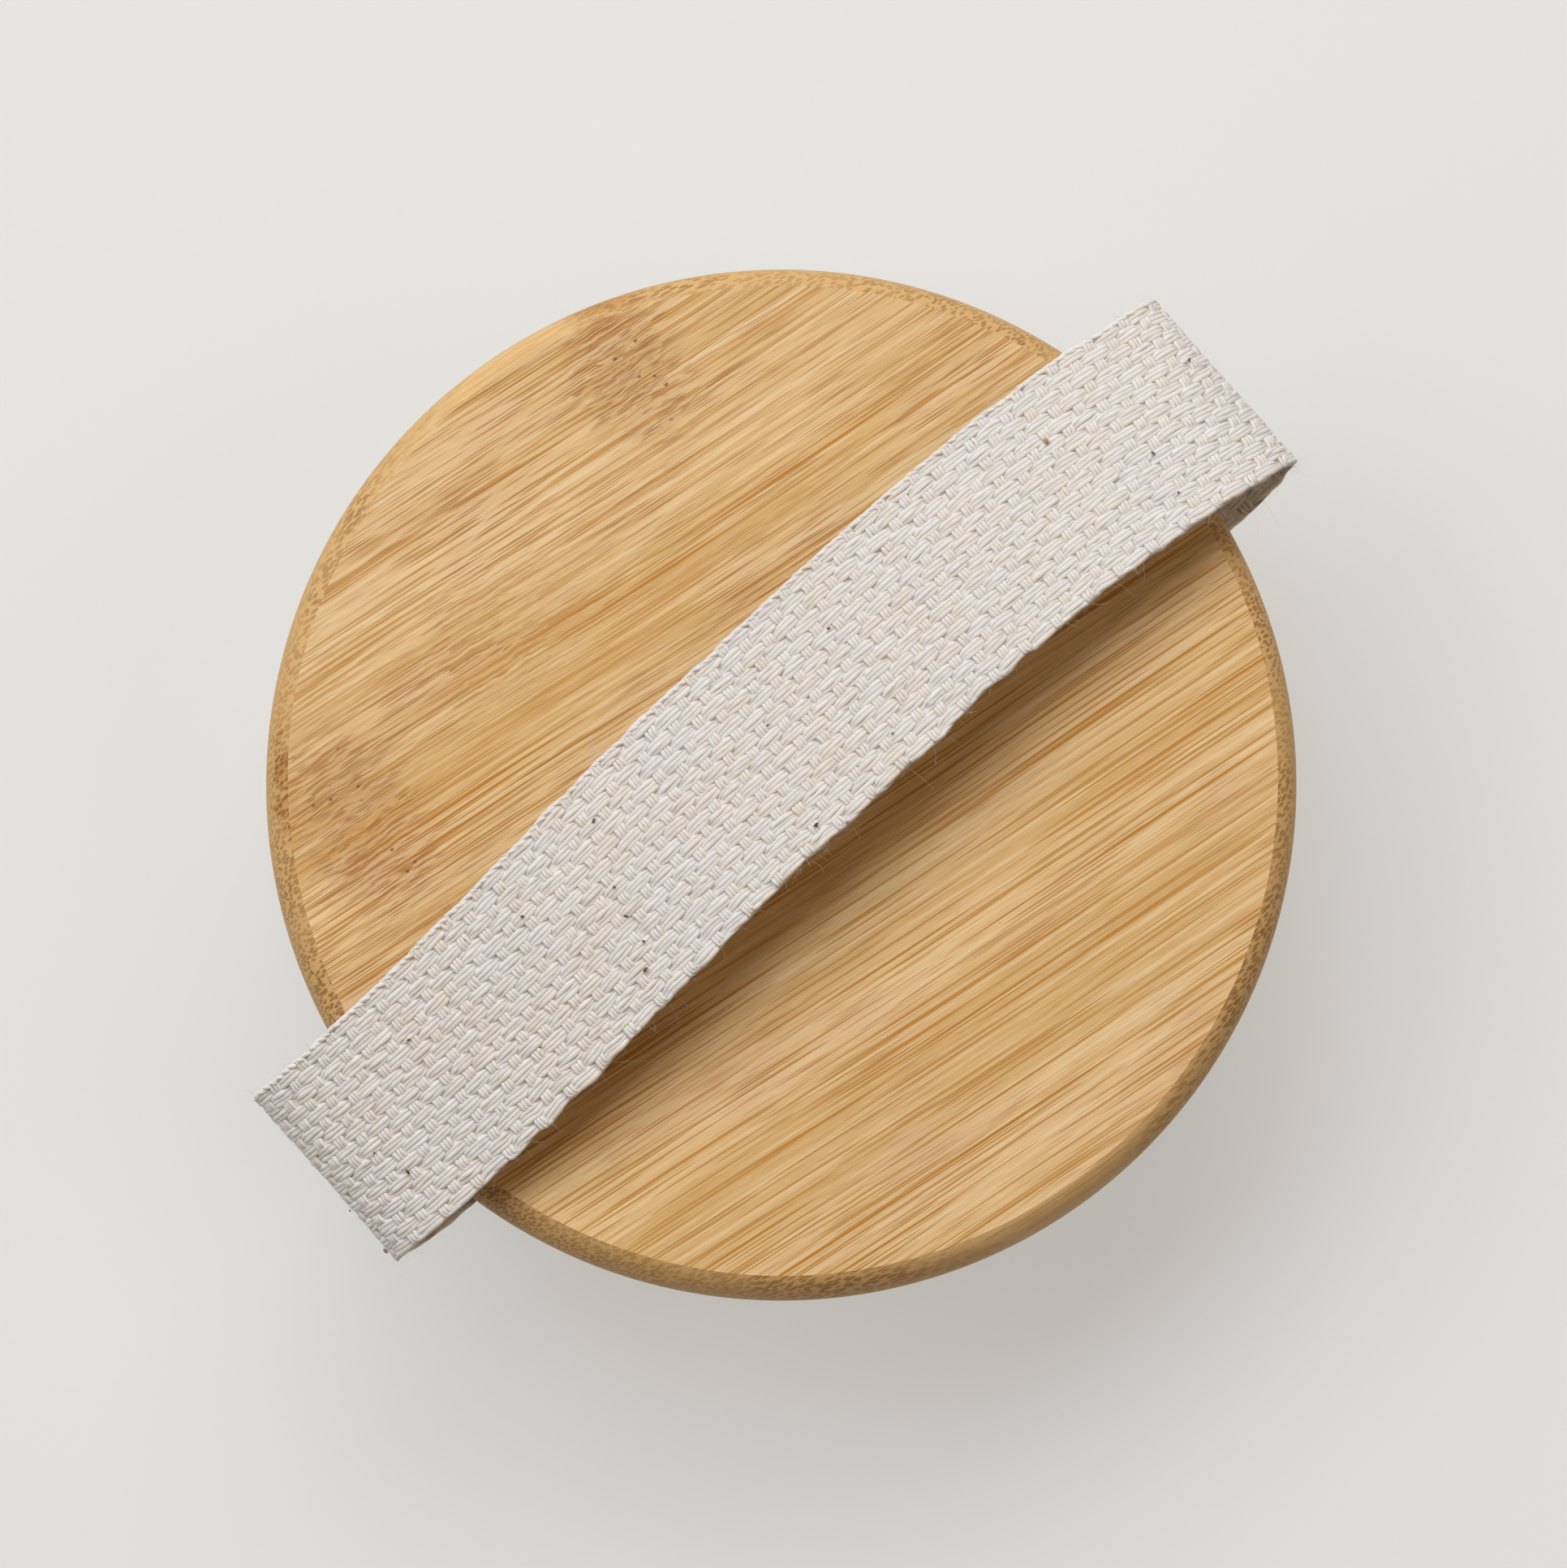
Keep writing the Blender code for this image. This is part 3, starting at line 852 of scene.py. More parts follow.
@dataclass
class StrapLine:
    """The webbing's route: out of the left slot, over the disc in a flopped arch, into the right slot."""

    back: BambooBack
    thickness: float = 2.0 * MM
    clearance: float = 0.3 * MM
    overhang: float = 10.5 * MM
    rise_at_rim: float = 3.8 * MM
    rise_at_middle: float = 8.0 * MM
    edge_band: float = 2.7 * MM
    fold_level: float = 0.42
    fold_fullness: float = 0.55
    arch_fullness: float = 0.36
    fold_sway: float = 1.0 * MM
    shoulder_sway_left: float = 0.8 * MM
    middle_sway: float = 4.1 * MM
    shoulder_sway_right: float = 3.1 * MM
    middle_roll: float = math.radians(8)
    shoulder_roll_right: float = math.radians(11)
    turn_right: float = 0.13
    fold_roll_right: float = math.radians(2)
    steps: int = 48

    @property
    def slot_height(self) -> float:
        """The height of the slots' middle."""
        low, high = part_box("strap_end_left")
        return (low.z + high.z) / 2

    def knots(self) -> list[Knot]:
        """The knots from the left slot's mouth to the right one's."""
        radius, level = self.back.radius, self.slot_height
        half = self.thickness / 2
        mouth = radius + self.clearance
        fold = radius + self.overhang - half
        shoulder = radius - self.edge_band
        shoulder_rise = self.back.high.z - level + self.rise_at_rim + half
        middle_rise = self.back.high.z - level + self.rise_at_middle + half
        fold_rise = shoulder_rise * self.fold_level
        slope = 2 * (middle_rise - shoulder_rise) / shoulder
        drift = (self.shoulder_sway_right - self.shoulder_sway_left) / (2 * shoulder)
        full, flat = self.fold_fullness, self.arch_fullness

        def knot(x: float, y: float, rise: float, heading: tuple, roll: float, fullness: float) -> Knot:
            """One knot, from its rise over the slots."""
            return Knot(Vector((x, y, level + rise)), Vector(heading).normalized(), roll, fullness)

        left, right = self.shoulder_sway_left, self.shoulder_sway_right
        return [
            knot(-mouth, 0, 0, (-1, 0, 0), 0, full),
            knot(-fold, self.fold_sway, fold_rise, (0, 0, 1), 0, full),
            knot(-shoulder, left, shoulder_rise, (1, drift, slope), 0, flat),
            knot(0, self.middle_sway, middle_rise, (1, drift, 0), self.middle_roll, flat),
            knot(shoulder, right, shoulder_rise, (1, -self.turn_right, -slope), self.shoulder_roll_right,
                 full),
            knot(fold, self.fold_sway, fold_rise, (0, 0, -1), self.fold_roll_right, full),
            knot(mouth, 0, 0, (-1, 0, 0), 0, full),
        ]

    def stations(self) -> Iterator[tuple[Vector, Vector]]:
        """The middle line's points, each with the direction across the webbing there."""
        knots = self.knots()
        end_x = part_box("strap_end_right")[0].x
        level = (0.0, self.slot_height)
        inside = np.linspace(end_x, self.back.radius, 12)
        for x in inside:
            yield Vector((-x, *level)), Vector((0, 1, 0))
        for start, end in zip(knots, knots[1:]):
            chord = end.point - start.point
            leave = start.point + start.heading * chord.dot(start.heading) * start.fullness
            arrive = end.point - end.heading * chord.dot(end.heading) * start.fullness
            points = interpolate_bezier(start.point, leave, arrive, end.point, self.steps + 1)
            for step, point in enumerate(points[:-1]):
                share = step / self.steps
                ease = share * share * (3 - 2 * share)
                roll = start.roll + (end.roll - start.roll) * ease
                yield point, Vector((0, math.cos(roll), -math.sin(roll)))
        yield knots[-1].point, Vector((0, 1, 0))
        for x in inside[::-1]:
            yield Vector((x, *level)), Vector((0, 1, 0))

    def rail(self) -> Rail:
        """The route as a rail to lay yarns on."""
        points, across = zip(*self.stations())
        return Rail(np.array(points, float), np.array(across, float))


class Thread(NamedTuple):
    """One length of yarn: its middle line, the face's direction along it, and its half sizes."""

    points: np.ndarray
    up: np.ndarray
    half_wide: np.ndarray
    half_high: np.ndarray
    tint: float


def lay_threads(name: str, threads: Sequence[Thread], sides: int, twist: float) -> bpy.types.Object:
    """Makes one object of many round yarns.

    Args:
        name: the object's name.
        threads: the yarns.
        sides: how many sides each yarn has.
        twist: the length in which a yarn's fibres wind round it once.

    Returns:
        The object. Its points hold "tint" and "twist", the place on a yarn's wound surface.
    """
    angles = np.arange(sides) * 2 * math.pi / sides
    points, quads, caps, tints, twists = [], [], [], [], []
    offset = 0
    for thread in threads:
        count = len(thread.points)
        along = np.gradient(thread.points, axis=0)
        along /= np.linalg.norm(along, axis=1, keepdims=True)
        side = np.cross(thread.up, along)
        side /= np.linalg.norm(side, axis=1, keepdims=True)
        up = np.cross(along, side)
        ring = (side[:, None] * (np.cos(angles)[None, :, None] * thread.half_wide[:, None, None])
                + up[:, None] * (np.sin(angles)[None, :, None] * thread.half_high[:, None, None]))
        points.append((thread.points[:, None] + ring).reshape(-1, 3))
        numbers = offset + np.arange(count * sides).reshape(count, sides)
        ahead = np.roll(numbers, -1, axis=1)
        quads.append(np.stack([numbers[:-1], ahead[:-1], ahead[1:], numbers[1:]], axis=-1).reshape(-1, 4))
        caps.append(np.stack([numbers[0][::-1], numbers[-1]]))
        steps = np.linalg.norm(np.diff(thread.points, axis=0), axis=1)
        run = np.concatenate(([0.0], np.cumsum(steps)))
        wound = angles[None, :] + (run / twist * 2 * math.pi)[:, None]
        far = np.broadcast_to((run / MM)[:, None], wound.shape) + 37.0 * thread.tint
        twists.append(np.stack([far, np.cos(wound), np.sin(wound)], axis=-1).reshape(-1, 3))
        tints.append(np.full(count * sides, thread.tint))
        offset += count * sides
    obj = from_points(name, np.concatenate(points), [np.concatenate(quads), np.concatenate(caps)])
    store(obj, "tint", np.concatenate(tints))
    store(obj, "twist", np.concatenate(twists))
    return obj


@dataclass
class Webbing:
    """The woven strap: ribs of warp yarns that pass over and under bundles of weft, round a tight ground."""

    line: StrapLine
    cotton: CottonFinish
    husk: HuskFinish
    width: float = 25.4 * MM
    ribs: int = 18
    rib_pitch: float = 1.385 * MM
    pick_pitch: float = 2.45 * MM
    skew: float = -0.05
    yarns_in_rib: int = 3
    yarns_in_pick: int = 3
    warp_rise: float = 0.23 * MM
    weft_rise: float = 0.23 * MM
    warp_half_wide: float = 0.38 * MM
    warp_half_high: float = 0.27 * MM
    weft_half: float = 0.31 * MM
    warp_pinch: float = 0.44 * MM
    warp_spread: float = 0.50 * MM
    warp_lean: float = 0.02 * MM
    warp_share: float = 0.30
    weft_spread: float = 0.43 * MM
    warp_samples: int = 6
    weft_samples: int = 3
    weft_jitter: float = 0.05 * MM
    weft_swell: float = 0.08
    turn_inset: float = 0.36
    turn_reach: tuple[float, float] = (0.7, 0.3)
    turn_spread: float = 0.25
    turn_tilt: float = 0.12 * MM
    turn_samples: int = 4
    sides: int = 6
    twist: float = 2.6 * MM
    chain_samples: int = 10
    chain_margin: float = 0.2 * MM
    chain_inset: float = 0.42 * MM
    chain_sway: float = 0.17 * MM
    chain_rise: float = 0.34 * MM
    chain_half: float = 0.27 * MM
    chain_slide: float = 0.3 * MM
    chain_turn: Drift = Drift(5 * MM, 0.35)
    chain_swell: Drift = Drift(2.0 * MM, 0.1)
    ground_thickness: float = 0.12 * MM
    ground_inset: float = 0.35
    ground_crease: float = 40.0
    ground_tint: float = 0.3
    front_edge_steps: float = 0.7
    front_edge_drift: float = 0.011
    rear_edge_share: float = 0.6
    rib_shift_step: float = 7 * MM
    rib_shift_share: float = 0.12
    rib_spread_drift: float = 0.3
    rib_sway: Drift = Drift(5 * MM, 0.07 * MM)
    yarn_sway: Drift = Drift(2.4 * MM, 0.045 * MM)
    yarn_rise: Drift = Drift(2.4 * MM, 0.16)
    yarn_height: Drift = Drift(1.0 * MM, 0.04 * MM)
    yarn_swell: Drift = Drift(1.2 * MM, 0.1)
    warp_sag: float = 0.04 * MM
    lint_count: int = 900
    lint_margin: float = 11 * MM
    lint_at_edges: float = 0.62
    lint_inset: float = 0.35 * MM
    lint_height: float = 0.6 * MM
    lint_length: float = 0.30 * MM
    lint_least: float = 0.5 * MM
    lint_steps: int = 7
    lint_heading: tuple[float, float, float] = (1.0, 0.7, 0.35)
    lint_bend: float = 0.42
    lint_half: tuple[float, float] = (0.010, 0.018)
    husk_count: int = 30
    husk_margin: float = 12 * MM
    husk_height: float = 0.74 * MM
    husk_size: tuple[float, float] = (0.13, 0.24)
    husk_roughness: float = 0.22
    pale_husk_growth: float = 1.8
    blend_low: float = 1.4 * MM
    blend_high: float = 11.0 * MM
    rail: Rail = field(init=False)
    picks: int = field(init=False)
    pick: float = field(init=False)
    front_wobble: np.ndarray = field(init=False)
    rear_wobble: np.ndarray = field(init=False)

    def __post_init__(self) -> None:
        """Lays out the picks so that they fill the length evenly, and how unevenly each edge runs."""
        self.rail = self.line.rail()
        self.picks = round(self.rail.length / self.pick_pitch)
        self.pick = self.rail.length / self.picks
        rng = np.random.default_rng(23)
        self.front_wobble = wander(rng, self.rail.run,
                                   Drift(self.pick * self.front_edge_steps, self.front_edge_drift))
        self.rear_wobble = wander(rng, self.rail.run,
                                  Drift(self.pick, self.front_edge_drift * self.rear_edge_share))

    @staticmethod
    def crown(wave: np.ndarray, steepness: float = 2.3) -> np.ndarray:
        """A cosine with flat tops and steep sides, as a yarn bends over a bundle and dives beside it."""
        return np.tanh(steepness * wave) / math.tanh(steepness)

    def rib_middle(self, rib: int) -> float:
        """Where a rib lies across the webbing."""
        return (rib - (self.ribs - 1) / 2) * self.rib_pitch

    def thread(self, run: np.ndarray, across: np.ndarray, height: np.ndarray, wide: np.ndarray,
               high: np.ndarray, tint: float) -> Thread:
        """A yarn from its place along, across and above the middle line."""
        edge = np.where(across > 0, np.interp(run, self.rail.run, self.rear_wobble),
                        np.interp(run, self.rail.run, self.front_wobble))
        across = across * (1 + edge * (2 * across / self.width) ** 2)
        up = self.rail.read(self.rail.face, run)
        return Thread(self.rail.place(run, across, height), up, wide, high, tint)

    def warp_rib(self, rib: int, rng: np.random.Generator) -> list[Thread]:
        """The yarns of one rib, which spread where they cross over a pick and pinch where they dive."""
        run = np.linspace(0.0, self.rail.length, self.picks * self.warp_samples + 1)
        slide = Drift(self.rib_shift_step, self.rib_shift_share * self.pick)
        shift = self.skew * self.rib_middle(rib) + wander(rng, run, slide)
        phase = math.pi * ((run + shift) / self.pick - 0.5 + rib)
        wave = np.cos(phase) + self.warp_share
        fullness = 1 + wander(rng, run, Drift(self.pick, self.rib_spread_drift))
        open_out = self.warp_pinch + (self.warp_spread - self.warp_pinch) * np.clip(wave, 0, 1) * fullness
        middle = self.rib_middle(rib) + wander(rng, run, self.rib_sway) - self.warp_lean * np.sin(phase)
        threads = []
        for number in range(self.yarns_in_rib):
            place = number - (self.yarns_in_rib - 1) / 2
            across = middle + place * open_out + wander(rng, run, self.yarn_sway)
            sag = self.warp_sag * abs(place) * self.crown(wave)
            rise = self.warp_rise * (1 + wander(rng, run, self.yarn_rise))
            height = self.crown(wave) * rise - sag + wander(rng, run, self.yarn_height)
            swell = 1 + wander(rng, run, self.yarn_swell)
            wide, high = self.warp_half_wide * swell, self.warp_half_high * swell
            threads.append(self.thread(run, across, height, wide, high, rng.uniform()))
        return threads

    def weft_yarn(self, number: int, rng: np.random.Generator) -> Thread:
        """One weft yarn, which goes to and fro across the webbing from end to end and turns at each edge."""
        outer = self.rib_middle(self.ribs - 1) + self.rib_pitch * self.turn_inset
        count = self.ribs * self.weft_samples
        pieces_run, pieces_across, pieces_height = [], [], []
        reach = self.width / 2 - outer - self.weft_half
        for pick in range(self.picks):
            way = 1 if pick % 2 == 0 else -1
            place = (number - (self.yarns_in_pick - 1) / 2) * way
            middle = (pick + 0.5) * self.pick + place * self.weft_spread
            across = np.linspace(-outer, outer, count) * way
            wave = np.cos(math.pi * (across / self.rib_pitch + (self.ribs - 1) / 2 + pick))
            pieces_across.append(across)
            pieces_run.append(middle - self.skew * across + rng.normal(0.0, self.weft_jitter, count))
            pieces_height.append(-self.crown(wave) * self.weft_rise)
            if pick == self.picks - 1:
                break
            following = (pick + 1.5) * self.pick - place * self.weft_spread
            angle = np.linspace(0.0, math.pi, self.turn_samples + 2)[1:-1]
            half_gap = (following - middle) / 2
            least, more = self.turn_reach
            push = reach * (least + more * half_gap / (self.pick / 2 + self.weft_spread))
            push *= 1 + rng.normal(0.0, self.turn_spread)
            pieces_run.append(middle - self.skew * outer * way + half_gap * (1 - np.cos(angle)))
            pieces_across.append(way * (outer + push * np.sin(angle)))
            tilt = rng.normal(0.0, self.turn_tilt)
            last, first = pieces_height[-1][-1], self.crown(wave[-1:])[0] * self.weft_rise
            pieces_height.append(last + (first - last) * angle / math.pi + tilt * np.sin(angle))
        run = np.clip(np.concatenate(pieces_run), 0.0, self.rail.length)
        across = np.concatenate(pieces_across)
        height = np.concatenate(pieces_height)
        half = np.full(len(run), self.weft_half) * (1 + rng.normal(0.0, self.weft_swell, len(run)))
        return self.thread(run, across, height, half, half, rng.uniform())

    def edge_chain(self, rng: np.random.Generator) -> list[Thread]:
        """The looped binding of the rear edge: two yarns that wind round the turns of the weft."""
        run = np.linspace(self.chain_margin, self.rail.length - self.chain_margin,
                          self.picks * self.chain_samples)
        threads = []
        for start in (0.0, math.pi):
            angle = 2 * math.pi * run / self.pick + start + wander(rng, run, self.chain_turn)
            across = self.width / 2 - self.chain_inset + self.chain_sway * np.cos(angle)
            height = self.chain_rise * np.sin(angle)
            half = self.chain_half * (1 + wander(rng, run, self.chain_swell))
            along = run + self.chain_slide * np.sin(angle)
            threads.append(self.thread(along, across, height, half, half, rng.uniform()))
        return threads

    def ground(self) -> bpy.types.Object:
        """The tight inside of the webbing, which no light passes: a strip that follows the middle line."""
        Bench.clear()
        half = self.rib_middle(self.ribs - 1) + self.rib_pitch * self.ground_inset
        bpy.ops.mesh.primitive_grid_add(x_subdivisions=2 * self.picks, y_subdivisions=4, size=1.0)
        strip = Bench.named("webbing_ground")
        flat = np.array([point.co for point in strip.data.vertices], float)
        run = (flat[:, 0] + 0.5) * self.rail.length
        places = self.rail.place(run, flat[:, 1] * 2 * half, np.zeros(len(flat)))
        strip.data.vertices.foreach_set("co", places.astype(np.float32).ravel())
        strip.data.update()
        Bench.apply(strip, "SOLIDIFY", thickness=self.ground_thickness, offset=0.0)
        Bench.settle(strip, self.ground_crease)
        places = np.array([point.co for point in strip.data.vertices], float)
        store(strip, "tint", np.full(len(places), self.ground_tint))
        store(strip, "twist", places / MM)
        return strip

    def lint(self, rng: np.random.Generator) -> bpy.types.Object:
        """Stray fibres that stand off the cloth, most of them along its two edges."""
        threads = []
        low, high = self.lint_margin, self.rail.length - self.lint_margin
        for _ in range(self.lint_count):
            at_edge = rng.uniform() < self.lint_at_edges
            edge = rng.choice((-1.0, 1.0)) * (self.width / 2 - self.lint_inset)
            across = edge if at_edge else rng.uniform(-0.47, 0.47) * self.width
            height = rng.uniform(-0.5, 0.5) * MM if at_edge else self.lint_height
            run = rng.uniform(low, high)
            count = self.lint_steps
            length = rng.gamma(3.0, self.lint_length) + self.lint_least
            heading = rng.normal(0.0, 1.0, 3) * self.lint_heading
            heading[1] += np.sign(edge) * 0.8 if at_edge else 0.0
            heading[2] += 0.15 if at_edge else 0.3
            heading /= np.linalg.norm(heading)
            bend = rng.normal(0.0, self.lint_bend, (count, 3))
            steps = np.cumsum(heading + np.cumsum(bend, axis=0) * 0.5, axis=0)
            steps *= length / count
            steps = np.vstack((np.zeros(3), steps))
            steps[:, 2] = np.abs(steps[:, 2])
            half = np.linspace(1.0, 0.5, count + 1) * rng.uniform(*self.lint_half) * MM
            made = self.thread(run + steps[:, 0], across + steps[:, 1], height + steps[:, 2], half, half,
                               rng.uniform(0.0, 0.6))
            up = np.broadcast_to(rng.normal(0.0, 1.0, 3), made.up.shape)
            threads.append(made._replace(up=up))
        return lay_threads("webbing_lint", threads, 3, self.twist)

    def husks(self, rng: np.random.Generator) -> bpy.types.Object:
        """Flecks of seed husk caught between the yarns, modelled once and copied."""
        Bench.clear()
        bpy.ops.mesh.primitive_ico_sphere_add(subdivisions=2, radius=1.0)
        first = Bench.named("webbing_husks")
        bpy.ops.object.mode_set(mode="EDIT")
        bpy.ops.mesh.select_all(action="SELECT")
        bpy.ops.transform.vertex_random(offset=self.husk_roughness, seed=4)
        bpy.ops.object.mode_set(mode="OBJECT")
        shape = np.array([point.co for point in first.data.vertices], float)
        faces = np.array([list(face.vertices) for face in first.data.polygons])
        bpy.data.objects.remove(first, do_unlink=True)
        points, all_faces, tints = [], [], []
        for number in range(self.husk_count):
            run = np.array([rng.uniform(self.husk_margin, self.rail.length - self.husk_margin)])
            across = np.array([rng.uniform(-0.46, 0.46) * self.width])
            face_side = 1.0 if number % 5 else -1.0
            middle = self.rail.place(run, across, np.array([face_side * self.husk_height]))[0]
            axes = [self.rail.read(axis, run)[0] for axis in (self.rail.across, self.rail.face)]
            axes.insert(0, np.cross(axes[0], axes[1]))
            turn = rng.uniform(0, math.pi)
            first_axis = math.cos(turn) * axes[0] + math.sin(turn) * axes[1]
            second_axis = math.cos(turn) * axes[1] - math.sin(turn) * axes[0]
            pale = number % 9 == 4
            size = rng.uniform(*self.husk_size) * MM * (self.pale_husk_growth if pale else 1.0)
            scaled = shape * (size * rng.uniform(1.0, 1.7), size * 0.75, size * 0.6)
            placed = scaled[:, :1] * first_axis + scaled[:, 1:2] * second_axis + scaled[:, 2:] * axes[2]
            points.append(middle + placed)
            all_faces.append(faces + number * len(shape))
            tints.append(np.full(len(shape), 0.9 if pale else rng.uniform(0.0, 0.25)))
        obj = from_points("webbing_husks", np.concatenate(points), [np.concatenate(all_faces)])
        store(obj, "tint", np.concatenate(tints))
        return obj

    def build(self) -> list[bpy.types.Object]:
        """Weaves and dresses the webbing.

        Returns:
            Its pieces, the ground first.
        """
        rng = np.random.default_rng(5)
        ground = self.ground()
        third = self.ribs // 3 + 1
        warps = []
        for name, start in (("front", 0), ("middle", third), ("rear", 2 * third)):
            ribs = range(start, min(start + third, self.ribs))
            threads = [thread for rib in ribs for thread in self.warp_rib(rib, rng)]
            warps.append(lay_threads(f"webbing_warp_{name}", threads, self.sides, self.twist))
        weft = [self.weft_yarn(number, rng) for number in range(self.yarns_in_pick)]
        woven = lay_threads("webbing_weft", weft, self.sides - 1, self.twist)
        chain = lay_threads("webbing_edge_chain", self.edge_chain(rng), self.sides, self.twist)
        lint = self.lint(rng)
        husks = self.husks(rng)
        cotton = self.cotton.material()
        pieces = [ground, *warps, woven, chain, lint]
        for piece in pieces:
            dress(piece, cotton, Slot.COTTON)
        dress(husks, self.husk.material(), Slot.COTTON)
        pieces.append(husks)
        for piece in pieces:
            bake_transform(piece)
        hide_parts("strap_end_left", "strap_loop", "strap_end_right")
        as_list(pieces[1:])
        return pieces


# ---- Bristles and brads ----


@dataclass
class BristleField:
    """The tufts: bunches of stiff fibres, each bunch tight in its hole and splayed to a trimmed tip."""

    finish: FibreFinish
    rings: tuple[int, ...] = (4, 10, 16, 22)
    fibres: int = 170
    half_thick: float = 0.165 * MM
    hole_fill: float = 2.72 * MM
    tip_fill: float = 5.55 * MM
    root_height: float = 7.0 * MM
    trim_slack: float = 0.35 * MM
    tip_stray: float = 0.28 * MM
    bow: float = 0.35 * MM
    thickness_range: tuple[float, float] = (0.75, 1.25)
    splay_curve: float = 1.25
    tip_taper: float = 0.25
    levels: int = 6
    sides: int = 5

    def names(self) -> list[str]:
        """The CAD nodes of the tufts, ring by ring."""
        return [f"bristle_tuft_ring{ring}_{number:02d}"
                for ring, count in enumerate(self.rings, start=1) for number in range(1, count + 1)]

    def middle(self, node: str) -> Vector:
        """The middle of one tuft's tip."""
        low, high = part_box(node)
        return Vector(((low.x + high.x) / 2, (low.y + high.y) / 2, low.z))

    def places(self) -> list[tuple[float, float]]:
        """The middle of each tuft's hole."""
        return [tuple(self.middle(node).xy) for node in self.names()]

    def fibre(self) -> tuple[np.ndarray, np.ndarray, np.ndarray]:
        """Models one straight fibre by hand, to be copied.

        Returns:
            Its points, on a unit height and radius, its quads, and its two end faces.
        """
        Bench.clear()
        bpy.ops.mesh.primitive_cylinder_add(vertices=self.sides, radius=1.0, depth=1.0,
                                            location=(0.0, 0.0, 0.5))
        rod = Bench.named("fibre")
        Bench.settle(rod, None)
        Bench.take(rod)
        bpy.ops.object.mode_set(mode="EDIT")
        bpy.ops.mesh.select_all(action="SELECT")
        for level in range(1, self.levels):
            bpy.ops.mesh.select_all(action="SELECT")
            bpy.ops.mesh.bisect(plane_co=(0, 0, level / self.levels), plane_no=(0, 0, 1))
        bpy.ops.object.mode_set(mode="OBJECT")
        points = np.array([point.co for point in rod.data.vertices], float)
        quads = np.array([list(f.vertices) for f in rod.data.polygons if len(f.vertices) == 4])
        ends = np.array([list(f.vertices) for f in rod.data.polygons if len(f.vertices) == self.sides])
        bpy.data.objects.remove(rod, do_unlink=True)
        return points, quads, ends

    def tuft(self, node: str, blank: tuple[np.ndarray, np.ndarray, np.ndarray], seed: int
             ) -> bpy.types.Object:
        """One tuft, as a bunch of bent copies of a fibre.

        Args:
            node: the CAD node that it stands for.
            blank: the straight fibre.
            seed: the source of chance for this bunch.

        Returns:
            The tuft.
        """
        rng = np.random.default_rng(seed)
        shape, quads, ends = blank
        middle = self.middle(node)
        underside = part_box("bamboo_back")[0].z
        number = np.arange(self.fibres)
        ray = np.sqrt((number + 0.5) / self.fibres)
        turn = number * math.pi * (3 - math.sqrt(5)) + rng.uniform(0, FULL_TURN)
        spot = np.stack([ray * np.cos(turn), ray * np.sin(turn)], axis=-1)
        root = spot * self.hole_fill
        tip = spot * self.tip_fill + rng.normal(0.0, self.tip_stray, (self.fibres, 2))
        reach = np.linalg.norm(tip, axis=1, keepdims=True)
        tip *= np.minimum(1.0, self.tip_fill / np.maximum(reach, 1e-9))
        trim = rng.uniform(0.0, self.trim_slack, self.fibres)
        bow = rng.normal(0.0, self.bow, (self.fibres, 2))
        thick = self.half_thick * rng.uniform(*self.thickness_range, self.fibres)
        top = underside + self.root_height
        height = trim[:, None] + (top - trim)[:, None] * (1 - shape[None, :, 2])
        free = np.clip((underside - height) / underside, 0.0, 1.0)
        splay = free ** self.splay_curve
        line = root[:, None] + (tip - root)[:, None] * splay[..., None]
        line = line + bow[:, None] * (np.sin(math.pi * free) * free)[..., None]
        spin = rng.uniform(0, FULL_TURN, self.fibres)[:, None]
        taper = (1.0 - self.tip_taper * free) * thick[:, None]
        angle = np.arctan2(shape[:, 1], shape[:, 0])[None, :] - spin
        points = np.stack([line[..., 0] + np.cos(angle) * taper,
                           line[..., 1] - np.sin(angle) * taper,
                           height], axis=-1)
        points = points + np.array((middle.x, middle.y, 0.0))
        offset = (number * len(shape))[:, None, None]
        all_quads = (quads[None] + offset).reshape(-1, 4)
        all_ends = (ends[None] + offset).reshape(-1, self.sides)
        obj = from_points(node.replace("bristle_", ""), points.reshape(-1, 3), [all_quads, all_ends])
        store(obj, "tint", np.repeat(rng.uniform(0.0, 1.0, self.fibres), len(shape)))
        return obj

    def build(self) -> list[bpy.types.Object]:
        """Models and dresses every tuft."""
        material = self.finish.material()
        blank = self.fibre()
        tufts = []
        for seed, node in enumerate(self.names()):
            tuft = self.tuft(node, blank, 100 + seed)
            dress(tuft, material, Slot.FIBRE)
            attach(tuft, Body.BACK.value)
            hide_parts(node)
            tufts.append(tuft)
        return tufts


